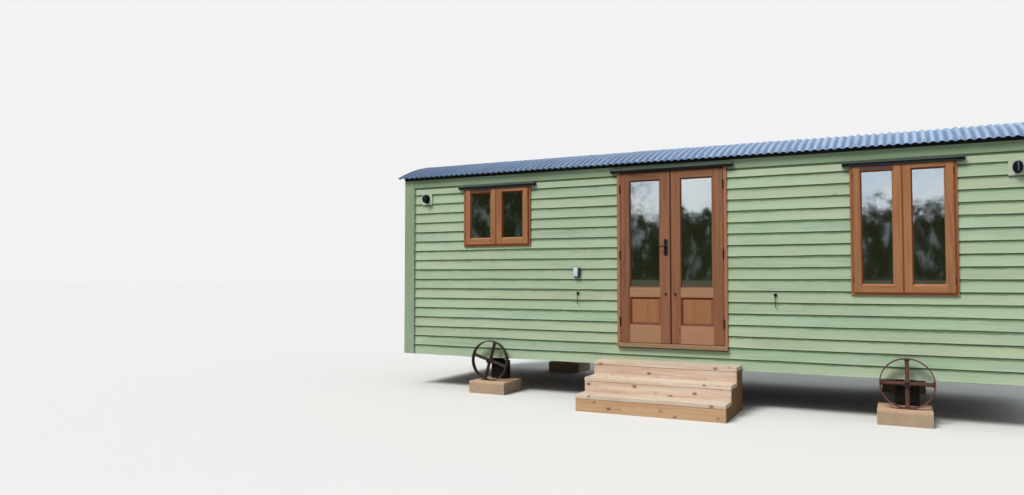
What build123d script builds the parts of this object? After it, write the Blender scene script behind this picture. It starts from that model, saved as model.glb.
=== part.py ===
from build123d import *
import os
from math import cos, radians, sin, sqrt

os.makedirs("parts", exist_ok=True)

# Shepherds hut: a boarded body with a barrel roof on a steel chassis, four cast wheels on pads,
# a pair of part-glazed doors, two windows and a flight of timber steps.
# Millimetres. +Z is up from the ground, +X runs along the hut, and the doors face -Y.
# The origin is on the ground at the centre of the whole footprint.

# Body
hut_length = 7200           # over the corner boards
hut_width = 2400            # over the cladding of the two long walls
wall_thick = 110            # studs, lining and the backs of the boards
clad_thick = 18             # how far the board edges and corner boards stand off the wall
corner_board_width = 150
wall_drop = 242             # wall foot below the top of the floor
floor_thick = 100
seat_gap = 0.3              # running gap where one piece rests on another it is not fixed to

# Roof
eave_over_door = 60         # lower edge of the roof sheet above the door head
eave_overhang = 60
end_overhang = 75
roof_radius = 2880          # underside of the roof sheet
sheet_depth = 20            # depth of the corrugated sheet
deck_thick = 45             # boards and insulation under the sheet

# Wheels, axles and chassis
wheel_diameter = 490
axle_inset = 1306           # from the end of the hut to the axle line
axle_shift = 44             # both axles stand this far to the right of the hut's middle
wheel_offset = 100          # wheel plane in front of the cladding
wheel_width = 60
rim_thick = 11
hub_radius = 34
hub_length = 84
spoke_width = 36
spoke_thick = 16
spoke_fillet = 22           # spokes widen into the rim on this radius
spoke_rib = 44              # depth of the rib along each spoke
spoke_rib_thick = 12
spokes = 4
left_wheel_turn = -17       # the left wheels stand turned by this much
axle_radius = 18
axle_fit = 0.08             # radial running clearance in the hub
axle_beam = 44              # square bar between the wheels
axle_cap_radius = 27        # to the corners of the six-sided cap
axle_cap_thick = 14
pad_size = 480
pad_inset = 25              # middle of each pad nearer the hut's middle than its wheel
pad_height = 145
block_length = 215          # timber packing between pads and axles
block_width = 100
block_inset = 190           # from the cladding to the middle of each block
rail_height = 146
rail_flange = 70
rail_thick = 9
rail_spacing = 1500
rail_end_gap = 60           # from the inside of the end walls
crossmember_count = 5
crossmember_width = 60
crossmember_height = 100

# Doors
door_width = 1250           # over the jambs
door_height = 2034          # from the underside of the sill to the top of the head
door_sill_drop = 32         # underside of the sill below the floor
frame_face = 35             # visible width of the jambs and head
frame_proud = 12            # jambs in front of the cladding
stop_width = 12             # rebate that the leaves close against
sill_thick = 46
sill_reach = 34             # sill in front of the jambs
leaf_thick = 44
leaf_gap = 5                # round each leaf
meeting_gap = 8             # between the two leaves
stile_width = 110
top_rail = 92
lock_rail = 104
bottom_rail = 201
panel_height = 316
panel_thick = 24
panel_margin = 34           # sloping border round the raised field
panel_rise = 10             # height of the raised field
glass_thick = 20            # sealed double unit
hinge_height = 100
knuckle_radius = 7
flap_thick = 2
flap_depth = 34
hinge_top = 185             # middle of the top hinge below the leaf's top
hinge_bottom = 235          # middle of the bottom hinge above the leaf's foot

# Door furniture
handle_height = 1105        # lever above the floor
plate_drop = 8              # middle of the plate below the lever
handle_inset = 47           # from the meeting edge of the leaf
plate_width = 42
plate_height = 190
plate_thick = 8
lever_length = 85
lever_radius = 8
lever_reach = 48
eye_inset = 56              # hook eye on each leaf, from the middle of the doorway
hook_height = 572           # above the floor
hook_rose_radius = 18
hook_rose_thick = 6
hook_radius = 5
hook_length = 130
hook_reach = 18

# Windows
left_window_gap = 1115      # from the door jamb to the frame
left_window_width = 939
left_window_height = 780
right_window_gap = 1229
right_window_width = 946
right_window_height = 1346
window_head = 133           # top of the window frames below the eave
window_frame = 42
window_mullion = 46
window_proud = 14
sash_width = 54
sash_thick = 42
sash_lip = 14               # how far a sash laps over the frame at its sides and foot
sash_lip_thick = 12         # how far the lip stands in front of the frame

# Drip caps: each hangs in front of the head of its frame
cap_thick = 45              # front edge, with the fillet under it
cap_side = 72               # past the frame each side
cap_fillet = 20             # height of the fillet
cap_fillet_back = 15        # fillet behind the front edge
cap_reach = 55              # in front of the cladding
cap_fall = 8                # slope of the top

# Wall lamps and box
lamp_gap = 109              # from the corner board to the lamp block
lamp_shift = 25             # both lamps stand this far to the right of the hut's middle
lamp_drop = 275             # middle of the lamp below the eave
lamp_block = 150
lamp_block_thick = 30
lamp_half_width = 42        # the lamps are upright ovals
lamp_half_height = 58
lamp_depth = 62
lamp_edge = 14              # bevel round the lamp's face
box_gap = 499               # from the door jamb to the middle of the box
box_height = 817            # above the floor
box_width = 74
box_tall = 118
box_reach = 45

# Steps
step_width = 1576
step_x = -24                # middle of the flight
step_rise = 151.5
top_step_drop = 148         # top tread below the underside of the sill
lower_going = 275
middle_going = 290
upper_going = 289
tread_thick = 42
riser_thick = 28
side_thick = 28

# Levels
axle_z = pad_height + seat_gap + wheel_diameter / 2
rail_bottom = axle_z + axle_beam / 2
rail_top = rail_bottom + rail_height
floor_top = rail_top + floor_thick
wall_foot = floor_top - wall_drop
sill_bottom = floor_top - door_sill_drop
sill_top = sill_bottom + sill_thick
door_top = sill_bottom + door_height
eave_z = door_top + eave_over_door
window_top = eave_z - window_head

# Places along the hut
axle_places = (axle_shift - hut_length / 2 + axle_inset, axle_shift + hut_length / 2 - axle_inset)
left_window_x = -(door_width / 2 + left_window_gap + left_window_width / 2)
right_window_x = door_width / 2 + right_window_gap + right_window_width / 2
lamp_spread = hut_length / 2 - corner_board_width - lamp_gap - lamp_block / 2
lamp_places = (lamp_shift - lamp_spread, lamp_shift + lamp_spread)
box_x = -(door_width / 2 + box_gap)

# Lines across the hut, with the hut placed so that the origin is in the middle of the footprint
steps_reach = lower_going + middle_going + upper_going
front_y = (steps_reach - hut_width - pad_size / 2) / 2
middle_y = front_y + hut_width / 2
back_y = front_y + hut_width
wall_y = front_y + clad_thick
inside_y = wall_y + wall_thick
core_half = hut_width / 2 - clad_thick
inside_half = core_half - wall_thick
core_length = hut_length - 2 * clad_thick
inside_length = core_length - 2 * wall_thick

# Roof arc: its centre lies on the middle line, far below the roof
arc_z = eave_z - sqrt(roof_radius ** 2 - (hut_width / 2 + eave_overhang) ** 2)
deck_radius = roof_radius - deck_thick


def deck_under(offset):
    """Height of the roof deck's underside at a distance from the hut's middle line."""
    return arc_z + sqrt(deck_radius ** 2 - offset ** 2)


def vault(outer, inner, half_width, length):
    """Part of a barrel, between two radii, that reaches half_width each side at the inner radius."""
    outer_half = half_width * outer / inner
    inner_rise = sqrt(inner ** 2 - half_width ** 2)
    outer_rise = inner_rise * outer / inner
    with BuildPart() as shell:
        with BuildSketch(Plane.YZ.offset(-length / 2)):
            with BuildLine():
                ThreePointArc((middle_y - outer_half, arc_z + outer_rise), (middle_y, arc_z + outer),
                              (middle_y + outer_half, arc_z + outer_rise))
                Line((middle_y + outer_half, arc_z + outer_rise), (middle_y + half_width, arc_z + inner_rise))
                ThreePointArc((middle_y + half_width, arc_z + inner_rise), (middle_y, arc_z + inner),
                              (middle_y - half_width, arc_z + inner_rise))
                Line((middle_y - half_width, arc_z + inner_rise), (middle_y - outer_half, arc_z + outer_rise))
            make_face()
        extrude(amount=length)
    return shell


def long_wall(x_low, x_high, foot, side, top=None):
    """Stretch of a long wall, with its top bevelled to the roof deck; side is -1 at the front, 1 at the back."""
    outer = middle_y + side * core_half
    inner = middle_y + side * inside_half
    outer_top = deck_under(core_half) if top is None else top
    inner_top = deck_under(inside_half) if top is None else top
    with BuildPart() as wall:
        with BuildSketch(Plane.YZ.offset(x_low)):
            with BuildLine():
                Polyline((outer, foot), (inner, foot), (inner, inner_top), (outer, outer_top), close=True)
            make_face()
        extrude(amount=x_high - x_low)
    return wall


# Wheel pads: concrete slabs under the four wheels
pad_places = (axle_places[0] + pad_inset, axle_places[1] - pad_inset)
with BuildPart() as wheel_pads:
    for x in pad_places:
        for y in (front_y, back_y):
            with Locations((x, y, pad_height / 2)):
                Box(pad_size, pad_size, pad_height)
wheel_pads.part.label = "wheel_pads"
export_step(wheel_pads.part, "parts/wheel_pads.step")

# Support blocks: they carry the axles on the pads, just inside the wheels
block_top = axle_z - axle_beam / 2
with BuildPart() as support_blocks:
    for x in axle_places:
        for side in (-1, 1):
            with Locations((x, middle_y + side * (hut_width / 2 - block_inset), (pad_height + block_top) / 2)):
                Box(block_length, block_width, block_top - pad_height)
support_blocks.part.label = "support_blocks"
export_step(support_blocks.part, "parts/support_blocks.step")

# Axles: a square bar across the hut with a round stub through each wheel
hub_inner = hut_width / 2 + wheel_offset - hub_length / 2
hub_outer = hub_inner + hub_length
stub_end = hub_outer + seat_gap
with BuildPart() as axles:
    for x in axle_places:
        with Locations((x, middle_y, axle_z)):
            Box(axle_beam, 2 * (hub_inner - seat_gap), axle_beam)
        with BuildSketch(Plane.XZ.offset(-middle_y)):
            with Locations((x, axle_z)):
                Circle(axle_radius)
        extrude(amount=stub_end, both=True)
axles.part.label = "axles"
export_step(axles.part, "parts/axles.step")

# Axle caps: six-sided nuts that keep the wheels on
with BuildPart() as axle_caps:
    for side in (-1, 1):
        with BuildSketch(Plane.XZ.offset(-middle_y - side * stub_end)):
            with Locations((axle_places[0], axle_z), (axle_places[1], axle_z)):
                RegularPolygon(axle_cap_radius, 6)
        extrude(amount=-side * axle_cap_thick)
axle_caps.part.label = "axle_caps"
export_step(axle_caps.part, "parts/axle_caps.step")


# Wheels: thin flat rims with ribbed spokes that widen on a radius where they meet the rim
def wheel(x, side, turn):
    """One cast wheel; side is -1 at the front and 1 at the back, turn is in degrees."""
    plane_y = middle_y + side * (hut_width / 2 + wheel_offset)
    rim_inside = wheel_diameter / 2 - rim_thick
    foot_width = spoke_width + 2.2 * spoke_fillet
    foot_start = sqrt(rim_inside ** 2 - (foot_width / 2) ** 2) + rim_thick / 20
    foot_depth = rim_inside + rim_thick / 4 - foot_start
    turned = radians(turn)
    wheel_plane = Plane(origin=(x, plane_y, axle_z), x_dir=(cos(turned), 0, sin(turned)), z_dir=(0, -1, 0))
    with BuildPart() as cast:
        with BuildSketch(wheel_plane):
            Circle(wheel_diameter / 2)
            Circle(rim_inside, mode=Mode.SUBTRACT)
        extrude(amount=wheel_width / 2, both=True)
        with BuildSketch(wheel_plane) as web:
            with PolarLocations(0, spokes):
                Rectangle(rim_inside, spoke_width, align=(Align.MIN, Align.CENTER))
            with PolarLocations(foot_start, spokes):
                Rectangle(foot_depth, foot_width, align=(Align.MIN, Align.CENTER))
            fillet(web.vertices().group_by(SortBy.DISTANCE)[1], spoke_fillet)
        extrude(amount=spoke_thick / 2, both=True)
        with BuildSketch(wheel_plane):
            Circle(hub_radius)
        extrude(amount=hub_length / 2, both=True)
        with BuildSketch(wheel_plane):
            with PolarLocations(0, spokes):
                Rectangle(rim_inside + rim_thick / 2, spoke_rib_thick, align=(Align.MIN, Align.CENTER))
        extrude(amount=spoke_rib / 2, both=True)
        with BuildSketch(wheel_plane):
            Circle(axle_radius + axle_fit)
        extrude(amount=hub_length / 2, both=True, mode=Mode.SUBTRACT)
    return cast


for name, x, side, turn in (
    ("front_left_wheel", axle_places[0], -1, left_wheel_turn),
    ("front_right_wheel", axle_places[1], -1, 0),
    ("back_left_wheel", axle_places[0], 1, left_wheel_turn),
    ("back_right_wheel", axle_places[1], 1, 0),
):
    cast_wheel = wheel(x, side, turn)
    cast_wheel.part.label = name
    export_step(cast_wheel.part, f"parts/{name}.step")

# Chassis rails: two steel channels that lie on the axles, with their open sides inwards
with BuildPart() as chassis_rails:
    for side in (-1, 1):
        web = middle_y + side * rail_spacing / 2
        toe = web - side * rail_flange
        face = web - side * rail_thick
        with BuildSketch(Plane.YZ.offset(-inside_length / 2 + rail_end_gap)):
            with BuildLine():
                Polyline((web, rail_bottom), (toe, rail_bottom), (toe, rail_bottom + rail_thick),
                         (face, rail_bottom + rail_thick), (face, rail_top - rail_thick),
                         (toe, rail_top - rail_thick), (toe, rail_top), (web, rail_top), close=True)
            make_face()
        extrude(amount=inside_length - 2 * rail_end_gap)
chassis_rails.part.label = "chassis_rails"
export_step(chassis_rails.part, "parts/chassis_rails.step")

# Chassis crossmembers: bars between the webs of the rails
crossmember_span = rail_spacing - 2 * rail_thick
crossmember_pitch = (inside_length - 2 * rail_end_gap - crossmember_width) / (crossmember_count - 1)
with BuildPart() as chassis_crossmembers:
    with Locations((0, middle_y, (rail_bottom + rail_top) / 2)):
        with GridLocations(crossmember_pitch, 1, crossmember_count, 1):
            Box(crossmember_width, crossmember_span, crossmember_height)
chassis_crossmembers.part.label = "chassis_crossmembers"
export_step(chassis_crossmembers.part, "parts/chassis_crossmembers.step")

# Floor deck: it lies on the rails and fills the space between the walls
with BuildPart() as floor_deck:
    with Locations((0, middle_y, (rail_top + floor_top) / 2)):
        Box(inside_length, 2 * inside_half, floor_thick)
floor_deck.part.label = "floor_deck"
export_step(floor_deck.part, "parts/floor_deck.step")

# Front wall: a stretch each side of the doorway, with a window in it, and short ones over and under the door
with BuildPart() as front_wall_left:
    add(long_wall(-core_length / 2, -door_width / 2, wall_foot, -1).part)
    with Locations((left_window_x, (wall_y + inside_y) / 2, window_top - left_window_height / 2)):
        Box(left_window_width, 2 * wall_thick, left_window_height, mode=Mode.SUBTRACT)
front_wall_left.part.label = "front_wall_left"
export_step(front_wall_left.part, "parts/front_wall_left.step")

with BuildPart() as front_wall_right:
    add(long_wall(door_width / 2, core_length / 2, wall_foot, -1).part)
    with Locations((right_window_x, (wall_y + inside_y) / 2, window_top - right_window_height / 2)):
        Box(right_window_width, 2 * wall_thick, right_window_height, mode=Mode.SUBTRACT)
front_wall_right.part.label = "front_wall_right"
export_step(front_wall_right.part, "parts/front_wall_right.step")

front_wall_over_door = long_wall(-door_width / 2, door_width / 2, door_top, -1)
front_wall_over_door.part.label = "front_wall_over_door"
export_step(front_wall_over_door.part, "parts/front_wall_over_door.step")

front_wall_under_door = long_wall(-door_width / 2, door_width / 2, wall_foot, -1, top=sill_bottom)
front_wall_under_door.part.label = "front_wall_under_door"
export_step(front_wall_under_door.part, "parts/front_wall_under_door.step")

# Back wall: plain, from end to end
back_wall = long_wall(-core_length / 2, core_length / 2, wall_foot, 1)
back_wall.part.label = "back_wall"
export_step(back_wall.part, "parts/back_wall.step")

# End walls: between the long walls, with tops that follow the roof
for name, x_low in (("left_end_wall", -core_length / 2), ("right_end_wall", core_length / 2 - wall_thick)):
    with BuildPart() as end_wall:
        with BuildSketch(Plane.YZ.offset(x_low)):
            with BuildLine():
                ThreePointArc((middle_y - inside_half, deck_under(inside_half)), (middle_y, deck_under(0)),
                              (middle_y + inside_half, deck_under(inside_half)))
                Polyline((middle_y + inside_half, deck_under(inside_half)), (middle_y + inside_half, wall_foot),
                         (middle_y - inside_half, wall_foot), (middle_y - inside_half, deck_under(inside_half)))
            make_face()
        extrude(amount=wall_thick)
    end_wall.part.label = name
    export_step(end_wall.part, f"parts/{name}.step")

# Corner boards: upright boards that cover both faces of each corner, up to the roof deck
with BuildPart() as corner_boards:
    for end in (-1, 1):
        for side in (-1, 1):
            face = middle_y + side * hut_width / 2
            back = middle_y + side * core_half
            return_half = hut_width / 2 - corner_board_width
            edge = middle_y + side * return_half
            low_x = min(end * hut_length / 2, end * (hut_length / 2 - corner_board_width))
            with BuildSketch(Plane.YZ.offset(low_x)):
                with BuildLine():
                    Polyline((face, wall_foot), (back, wall_foot), (back, deck_under(core_half)),
                             (face, deck_under(hut_width / 2)), close=True)
                make_face()
            extrude(amount=corner_board_width)
            low_x = min(end * hut_length / 2, end * core_length / 2)
            with BuildSketch(Plane.YZ.offset(low_x)):
                with BuildLine():
                    Polyline((face, wall_foot), (edge, wall_foot), (edge, deck_under(return_half)),
                             (face, deck_under(hut_width / 2)), close=True)
                make_face()
            extrude(amount=clad_thick)
corner_boards.part.label = "corner_boards"
export_step(corner_boards.part, "parts/corner_boards.step")

# Roof deck: the curved boarding that the walls carry
roof_deck = vault(roof_radius, deck_radius, hut_width / 2, hut_length)
roof_deck.part.label = "roof_deck"
export_step(roof_deck.part, "parts/roof_deck.step")

# Roof sheet: it lies on the deck and hangs over it all round
sheet_half = hut_width / 2 + eave_overhang
roof_sheet = vault(roof_radius + sheet_depth, roof_radius, sheet_half, hut_length + 2 * end_overhang)
roof_sheet.part.label = "roof_sheet"
export_step(roof_sheet.part, "parts/roof_sheet.step")

# Door frame: rebated jambs and head, and a sill that slopes outwards
frame_y = front_y - frame_proud
stop_y = frame_y + leaf_thick + leaf_gap
jamb_inside = door_width / 2 - frame_face
head_bottom = door_top - frame_face
with BuildPart() as door_jambs:
    for side in (-1, 1):
        with BuildSketch(Plane.XY.offset(sill_top)):
            with BuildLine():
                Polyline((side * door_width / 2, frame_y), (side * jamb_inside, frame_y),
                         (side * jamb_inside, stop_y), (side * (jamb_inside - stop_width), stop_y),
                         (side * (jamb_inside - stop_width), inside_y), (side * door_width / 2, inside_y),
                         close=True)
            make_face()
        extrude(amount=head_bottom - sill_top)
door_jambs.part.label = "door_jambs"
export_step(door_jambs.part, "parts/door_jambs.step")

with BuildPart() as door_head:
    with Locations((0, (frame_y + inside_y) / 2, door_top - frame_face / 2)):
        Box(door_width, inside_y - frame_y, frame_face)
    with Locations((0, (stop_y + inside_y) / 2, head_bottom - stop_width / 2)):
        Box(2 * (jamb_inside - stop_width), inside_y - stop_y, stop_width)
door_head.part.label = "door_head"
export_step(door_head.part, "parts/door_head.step")

with BuildPart() as door_sill:
    with BuildSketch(Plane.YZ.offset(-door_width / 2)):
        with BuildLine():
            Polyline((inside_y, sill_bottom), (inside_y, sill_top), (frame_y, sill_top),
                     (frame_y - sill_reach, sill_top - cap_fall), (frame_y - sill_reach, sill_bottom), close=True)
        make_face()
    extrude(amount=door_width)
door_sill.part.label = "door_sill"
export_step(door_sill.part, "parts/door_sill.step")

# Door leaves: a stile and rail frame, a glazed upper light and a raised panel below
leaf_bottom = sill_top + leaf_gap
leaf_top = head_bottom - leaf_gap
leaf_outer = jamb_inside - leaf_gap
leaf_inner = meeting_gap / 2
leaf_width = leaf_outer - leaf_inner
light_width = leaf_width - 2 * stile_width
panel_bottom = leaf_bottom + bottom_rail
panel_top = panel_bottom + panel_height
glass_bottom = panel_top + lock_rail
glass_top = leaf_top - top_rail
leaf_y = frame_y + leaf_thick / 2
pivot_x = leaf_outer + leaf_gap / 2
pivot_y = frame_y - knuckle_radius
hinge_low = leaf_bottom + hinge_bottom
hinge_high = leaf_top - hinge_top
hinge_levels = (hinge_low, (hinge_low + hinge_high) / 2, hinge_high)

for name, side in (("left", -1), ("right", 1)):
    leaf_x = side * (leaf_outer + leaf_inner) / 2
    with BuildPart() as leaf:
        with Locations((leaf_x, leaf_y, (leaf_bottom + leaf_top) / 2)):
            Box(leaf_width, leaf_thick, leaf_top - leaf_bottom)
        with Locations((leaf_x, leaf_y, (glass_bottom + glass_top) / 2)):
            Box(light_width, leaf_thick, glass_top - glass_bottom, mode=Mode.SUBTRACT)
        with Locations((leaf_x, leaf_y, (panel_bottom + panel_top) / 2)):
            Box(light_width, leaf_thick, panel_height, mode=Mode.SUBTRACT)
    leaf.part.label = f"{name}_door_leaf"
    export_step(leaf.part, f"parts/{name}_door_leaf.step")

    with BuildPart() as glass:
        with Locations((leaf_x, leaf_y, (glass_bottom + glass_top) / 2)):
            Box(light_width, glass_thick, glass_top - glass_bottom)
    glass.part.label = f"{name}_door_glass"
    export_step(glass.part, f"parts/{name}_door_glass.step")

    with BuildPart() as panel:
        with Locations((leaf_x, leaf_y, (panel_bottom + panel_top) / 2)):
            Box(light_width, panel_thick, panel_height)
        for end in (0, -1):
            field = panel.faces().sort_by(Axis.Y)[end]
            chamfer(field.edges(), panel_margin, panel_rise, reference=field)
    panel.part.label = f"{name}_door_panel"
    export_step(panel.part, f"parts/{name}_door_panel.step")

    with BuildPart() as leaf_hinges:
        for level in hinge_levels:
            with Locations((side * pivot_x, pivot_y, level + seat_gap)):
                Cylinder(knuckle_radius, hinge_height / 2 - seat_gap,
                         align=(Align.CENTER, Align.CENTER, Align.MIN))
            with Locations((side * (leaf_outer + flap_thick / 2), frame_y, level)):
                Box(flap_thick, flap_depth, hinge_height, align=(Align.CENTER, Align.MIN, Align.CENTER))
            with Locations((side * (leaf_outer + flap_thick / 2), pivot_y, level + seat_gap)):
                Box(flap_thick, knuckle_radius, hinge_height / 2 - seat_gap,
                    align=(Align.CENTER, Align.MIN, Align.MIN))
    leaf_hinges.part.label = f"{name}_leaf_hinges"
    export_step(leaf_hinges.part, f"parts/{name}_leaf_hinges.step")

# Jamb hinges: the fixed halves, with the lower knuckle that carries the one on the leaf
with BuildPart() as jamb_hinges:
    for side in (-1, 1):
        for level in hinge_levels:
            with Locations((side * pivot_x, pivot_y, level)):
                Cylinder(knuckle_radius, hinge_height / 2, align=(Align.CENTER, Align.CENTER, Align.MAX))
            with Locations((side * (jamb_inside - flap_thick / 2), frame_y, level)):
                Box(flap_thick, flap_depth, hinge_height, align=(Align.CENTER, Align.MIN, Align.CENTER))
            with Locations((side * (jamb_inside - flap_thick / 2), pivot_y, level)):
                Box(flap_thick, knuckle_radius, hinge_height / 2, align=(Align.CENTER, Align.MIN, Align.MAX))
jamb_hinges.part.label = "jamb_hinges"
export_step(jamb_hinges.part, "parts/jamb_hinges.step")

# Door handle: a lever on a long plate, on the left leaf beside the meeting edge
handle_x = -(leaf_inner + handle_inset)
handle_z = floor_top + handle_height
lever_y = frame_y - plate_thick - lever_reach
with BuildPart() as door_handle:
    with Locations((handle_x, frame_y - plate_thick / 2, handle_z - plate_drop)):
        Box(plate_width, plate_thick, plate_height)
    with BuildSketch(Plane.XZ.offset(-frame_y + plate_thick)):
        with Locations((handle_x, handle_z)):
            Circle(lever_radius)
    extrude(amount=lever_reach + lever_radius)
    with BuildSketch(Plane.YZ.offset(handle_x)):
        with Locations((lever_y, handle_z)):
            Circle(lever_radius)
    extrude(amount=-lever_length)
door_handle.part.label = "door_handle"
export_step(door_handle.part, "parts/door_handle.step")

# Cabin hooks: on the wall as far from each hinge as the eye on its leaf, hanging until they hold the open leaf
hook_x = 2 * pivot_x - eye_inset
hook_z = floor_top + hook_height
hook_y = front_y - hook_rose_thick - hook_reach
with BuildPart() as cabin_hooks:
    for side in (-1, 1):
        with BuildSketch(Plane.XZ.offset(-wall_y)):
            with Locations((side * hook_x, hook_z)):
                Circle(hook_rose_radius)
        extrude(amount=clad_thick + hook_rose_thick)
        with Locations((side * hook_x, front_y, hook_z)):
            Box(2 * hook_radius, hook_rose_thick + hook_reach + hook_radius, 2 * hook_radius,
                align=(Align.CENTER, Align.MAX, Align.CENTER))
        with Locations((side * hook_x, hook_y, hook_z)):
            Cylinder(hook_radius, hook_length, align=(Align.CENTER, Align.CENTER, Align.MAX))
cabin_hooks.part.label = "cabin_hooks"
export_step(cabin_hooks.part, "parts/cabin_hooks.step")


# Windows: a frame with a mullion, and a pair of glazed sashes that stay shut
def window_lights(centre_x, width, height):
    """Centres and sizes of the two sash openings of a window frame."""
    light = (width - 2 * window_frame - window_mullion) / 2
    spread = (light + window_mullion) / 2
    tall = height - 2 * window_frame
    return [(centre_x - spread, light, tall), (centre_x + spread, light, tall)]


windows = (
    ("left_window_frame", left_window_x, left_window_width, left_window_height),
    ("right_window_frame", right_window_x, right_window_width, right_window_height),
)
window_y = front_y - window_proud
sash_y = window_y + sash_thick / 2
lip_y = window_y - sash_lip_thick / 2
for name, centre_x, width, height in windows:
    centre_z = window_top - height / 2
    with BuildPart() as window:
        with Locations((centre_x, (window_y + inside_y) / 2, centre_z)):
            Box(width, inside_y - window_y, height)
        for light_x, light, tall in window_lights(centre_x, width, height):
            with Locations((light_x, (window_y + inside_y) / 2, centre_z)):
                Box(light, inside_y - window_y, tall, mode=Mode.SUBTRACT)
    window.part.label = name
    export_step(window.part, f"parts/{name}.step")

with BuildPart() as window_sashes:
    for name, centre_x, width, height in windows:
        centre_z = window_top - height / 2
        for light_x, light, tall in window_lights(centre_x, width, height):
            with Locations((light_x, sash_y, centre_z)):
                Box(light, sash_thick, tall)
            with Locations((light_x, lip_y, centre_z - sash_lip / 2)):
                Box(light + 2 * sash_lip, sash_lip_thick, tall + sash_lip)
            with Locations((light_x, sash_y - sash_lip_thick / 2, centre_z)):
                Box(light - 2 * sash_width, sash_thick + sash_lip_thick, tall - 2 * sash_width,
                    mode=Mode.SUBTRACT)
window_sashes.part.label = "window_sashes"
export_step(window_sashes.part, "parts/window_sashes.step")

with BuildPart() as window_glass:
    for name, centre_x, width, height in windows:
        centre_z = window_top - height / 2
        for light_x, light, tall in window_lights(centre_x, width, height):
            with Locations((light_x, sash_y, centre_z)):
                Box(light - 2 * sash_width, glass_thick, tall - 2 * sash_width)
window_glass.part.label = "window_glass"
export_step(window_glass.part, "parts/window_glass.step")

# Drip caps: sloping boards with a fillet under them, over the door and the windows, cut round the frames' heads
caps = (
    (0, door_width, door_top, frame_face, frame_y),
    (left_window_x, left_window_width, window_top, window_frame, window_y),
    (right_window_x, right_window_width, window_top, window_frame, window_y),
)
with BuildPart() as drip_caps:
    for centre_x, width, head_top, head, head_y in caps:
        level = head_top - head
        with BuildSketch(Plane.YZ.offset(centre_x - width / 2 - cap_side)):
            with BuildLine():
                Polyline((wall_y, level), (wall_y, level + cap_thick + cap_fall),
                         (front_y - cap_reach, level + cap_thick), (front_y - cap_reach, level + cap_fillet),
                         (front_y - cap_reach + cap_fillet_back, level + cap_fillet),
                         (front_y - cap_reach + cap_fillet_back, level), close=True)
            make_face()
        extrude(amount=width + 2 * cap_side)
        with Locations((centre_x, head_y, head_top)):
            Box(width, wall_y - head_y, head, align=(Align.CENTER, Align.MIN, Align.MAX), mode=Mode.SUBTRACT)
drip_caps.part.label = "drip_caps"
export_step(drip_caps.part, "parts/drip_caps.step")

# Wall lamps: oval lamps on square blocks near the ends
lamp_z = eave_z - lamp_drop
block_face = front_y - lamp_block_thick + clad_thick
with BuildPart() as lamp_blocks:
    for x in lamp_places:
        with Locations((x, (block_face + wall_y) / 2, lamp_z)):
            Box(lamp_block, wall_y - block_face, lamp_block)
lamp_blocks.part.label = "lamp_blocks"
export_step(lamp_blocks.part, "parts/lamp_blocks.step")

with BuildPart() as wall_lamps:
    with BuildSketch(Plane.XZ.offset(-block_face)):
        with Locations((lamp_places[0], lamp_z), (lamp_places[1], lamp_z)):
            Ellipse(lamp_half_width, lamp_half_height)
    extrude(amount=lamp_depth)
    chamfer(wall_lamps.edges().filter_by(GeomType.ELLIPSE).group_by(Axis.Y)[0], lamp_edge)
wall_lamps.part.label = "wall_lamps"
export_step(wall_lamps.part, "parts/wall_lamps.step")

# Wall box: a small box on the boards to the left of the door
with BuildPart() as wall_box:
    with Locations((box_x, (front_y - box_reach + wall_y) / 2, floor_top + box_height)):
        Box(box_width, wall_y - front_y + box_reach, box_tall)
wall_box.part.label = "wall_box"
export_step(wall_box.part, "parts/wall_box.step")

# Steps: three treads on risers and closed sides
top_tread = sill_bottom - top_step_drop
steps_back = wall_y - seat_gap
nosings = (front_y - steps_reach, front_y - middle_going - upper_going, front_y - upper_going)
levels = (top_tread - 2 * step_rise, top_tread - step_rise, top_tread)
tread_backs = (nosings[1] + riser_thick, nosings[2] + riser_thick, steps_back)
with BuildPart() as step_treads:
    for nosing, level, tread_back in zip(nosings, levels, tread_backs):
        with Locations((step_x, nosing, level)):
            Box(step_width, tread_back - nosing, tread_thick, align=(Align.CENTER, Align.MIN, Align.MAX))
step_treads.part.label = "step_treads"
export_step(step_treads.part, "parts/step_treads.step")

with BuildPart() as step_risers:
    for nosing, level, foot in zip(nosings, levels, (0, levels[0], levels[1])):
        with Locations((step_x, nosing, foot)):
            Box(step_width, riser_thick, level - tread_thick - foot, align=(Align.CENTER, Align.MIN, Align.MIN))
step_risers.part.label = "step_risers"
export_step(step_risers.part, "parts/step_risers.step")

with BuildPart() as step_sides:
    for side_x in (step_x - step_width / 2, step_x + step_width / 2 - side_thick):
        with BuildSketch(Plane.YZ.offset(side_x)):
            with BuildLine():
                Polyline((nosings[0] + riser_thick, 0), (nosings[0] + riser_thick, levels[0] - tread_thick),
                         (nosings[1] + riser_thick, levels[0] - tread_thick),
                         (nosings[1] + riser_thick, levels[1] - tread_thick),
                         (nosings[2] + riser_thick, levels[1] - tread_thick),
                         (nosings[2] + riser_thick, levels[2] - tread_thick),
                         (steps_back, levels[2] - tread_thick), (steps_back, 0), close=True)
            make_face()
        extrude(amount=side_thick)
step_sides.part.label = "step_sides"
export_step(step_sides.part, "parts/step_sides.step")
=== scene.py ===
from functools import partialmethod, wraps
from math import asin, cos, pi, radians, sqrt

import bmesh
import bpy
from bpy.props import FloatProperty, FloatVectorProperty, PointerProperty
from mathutils import Matrix, Vector, noise


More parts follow.
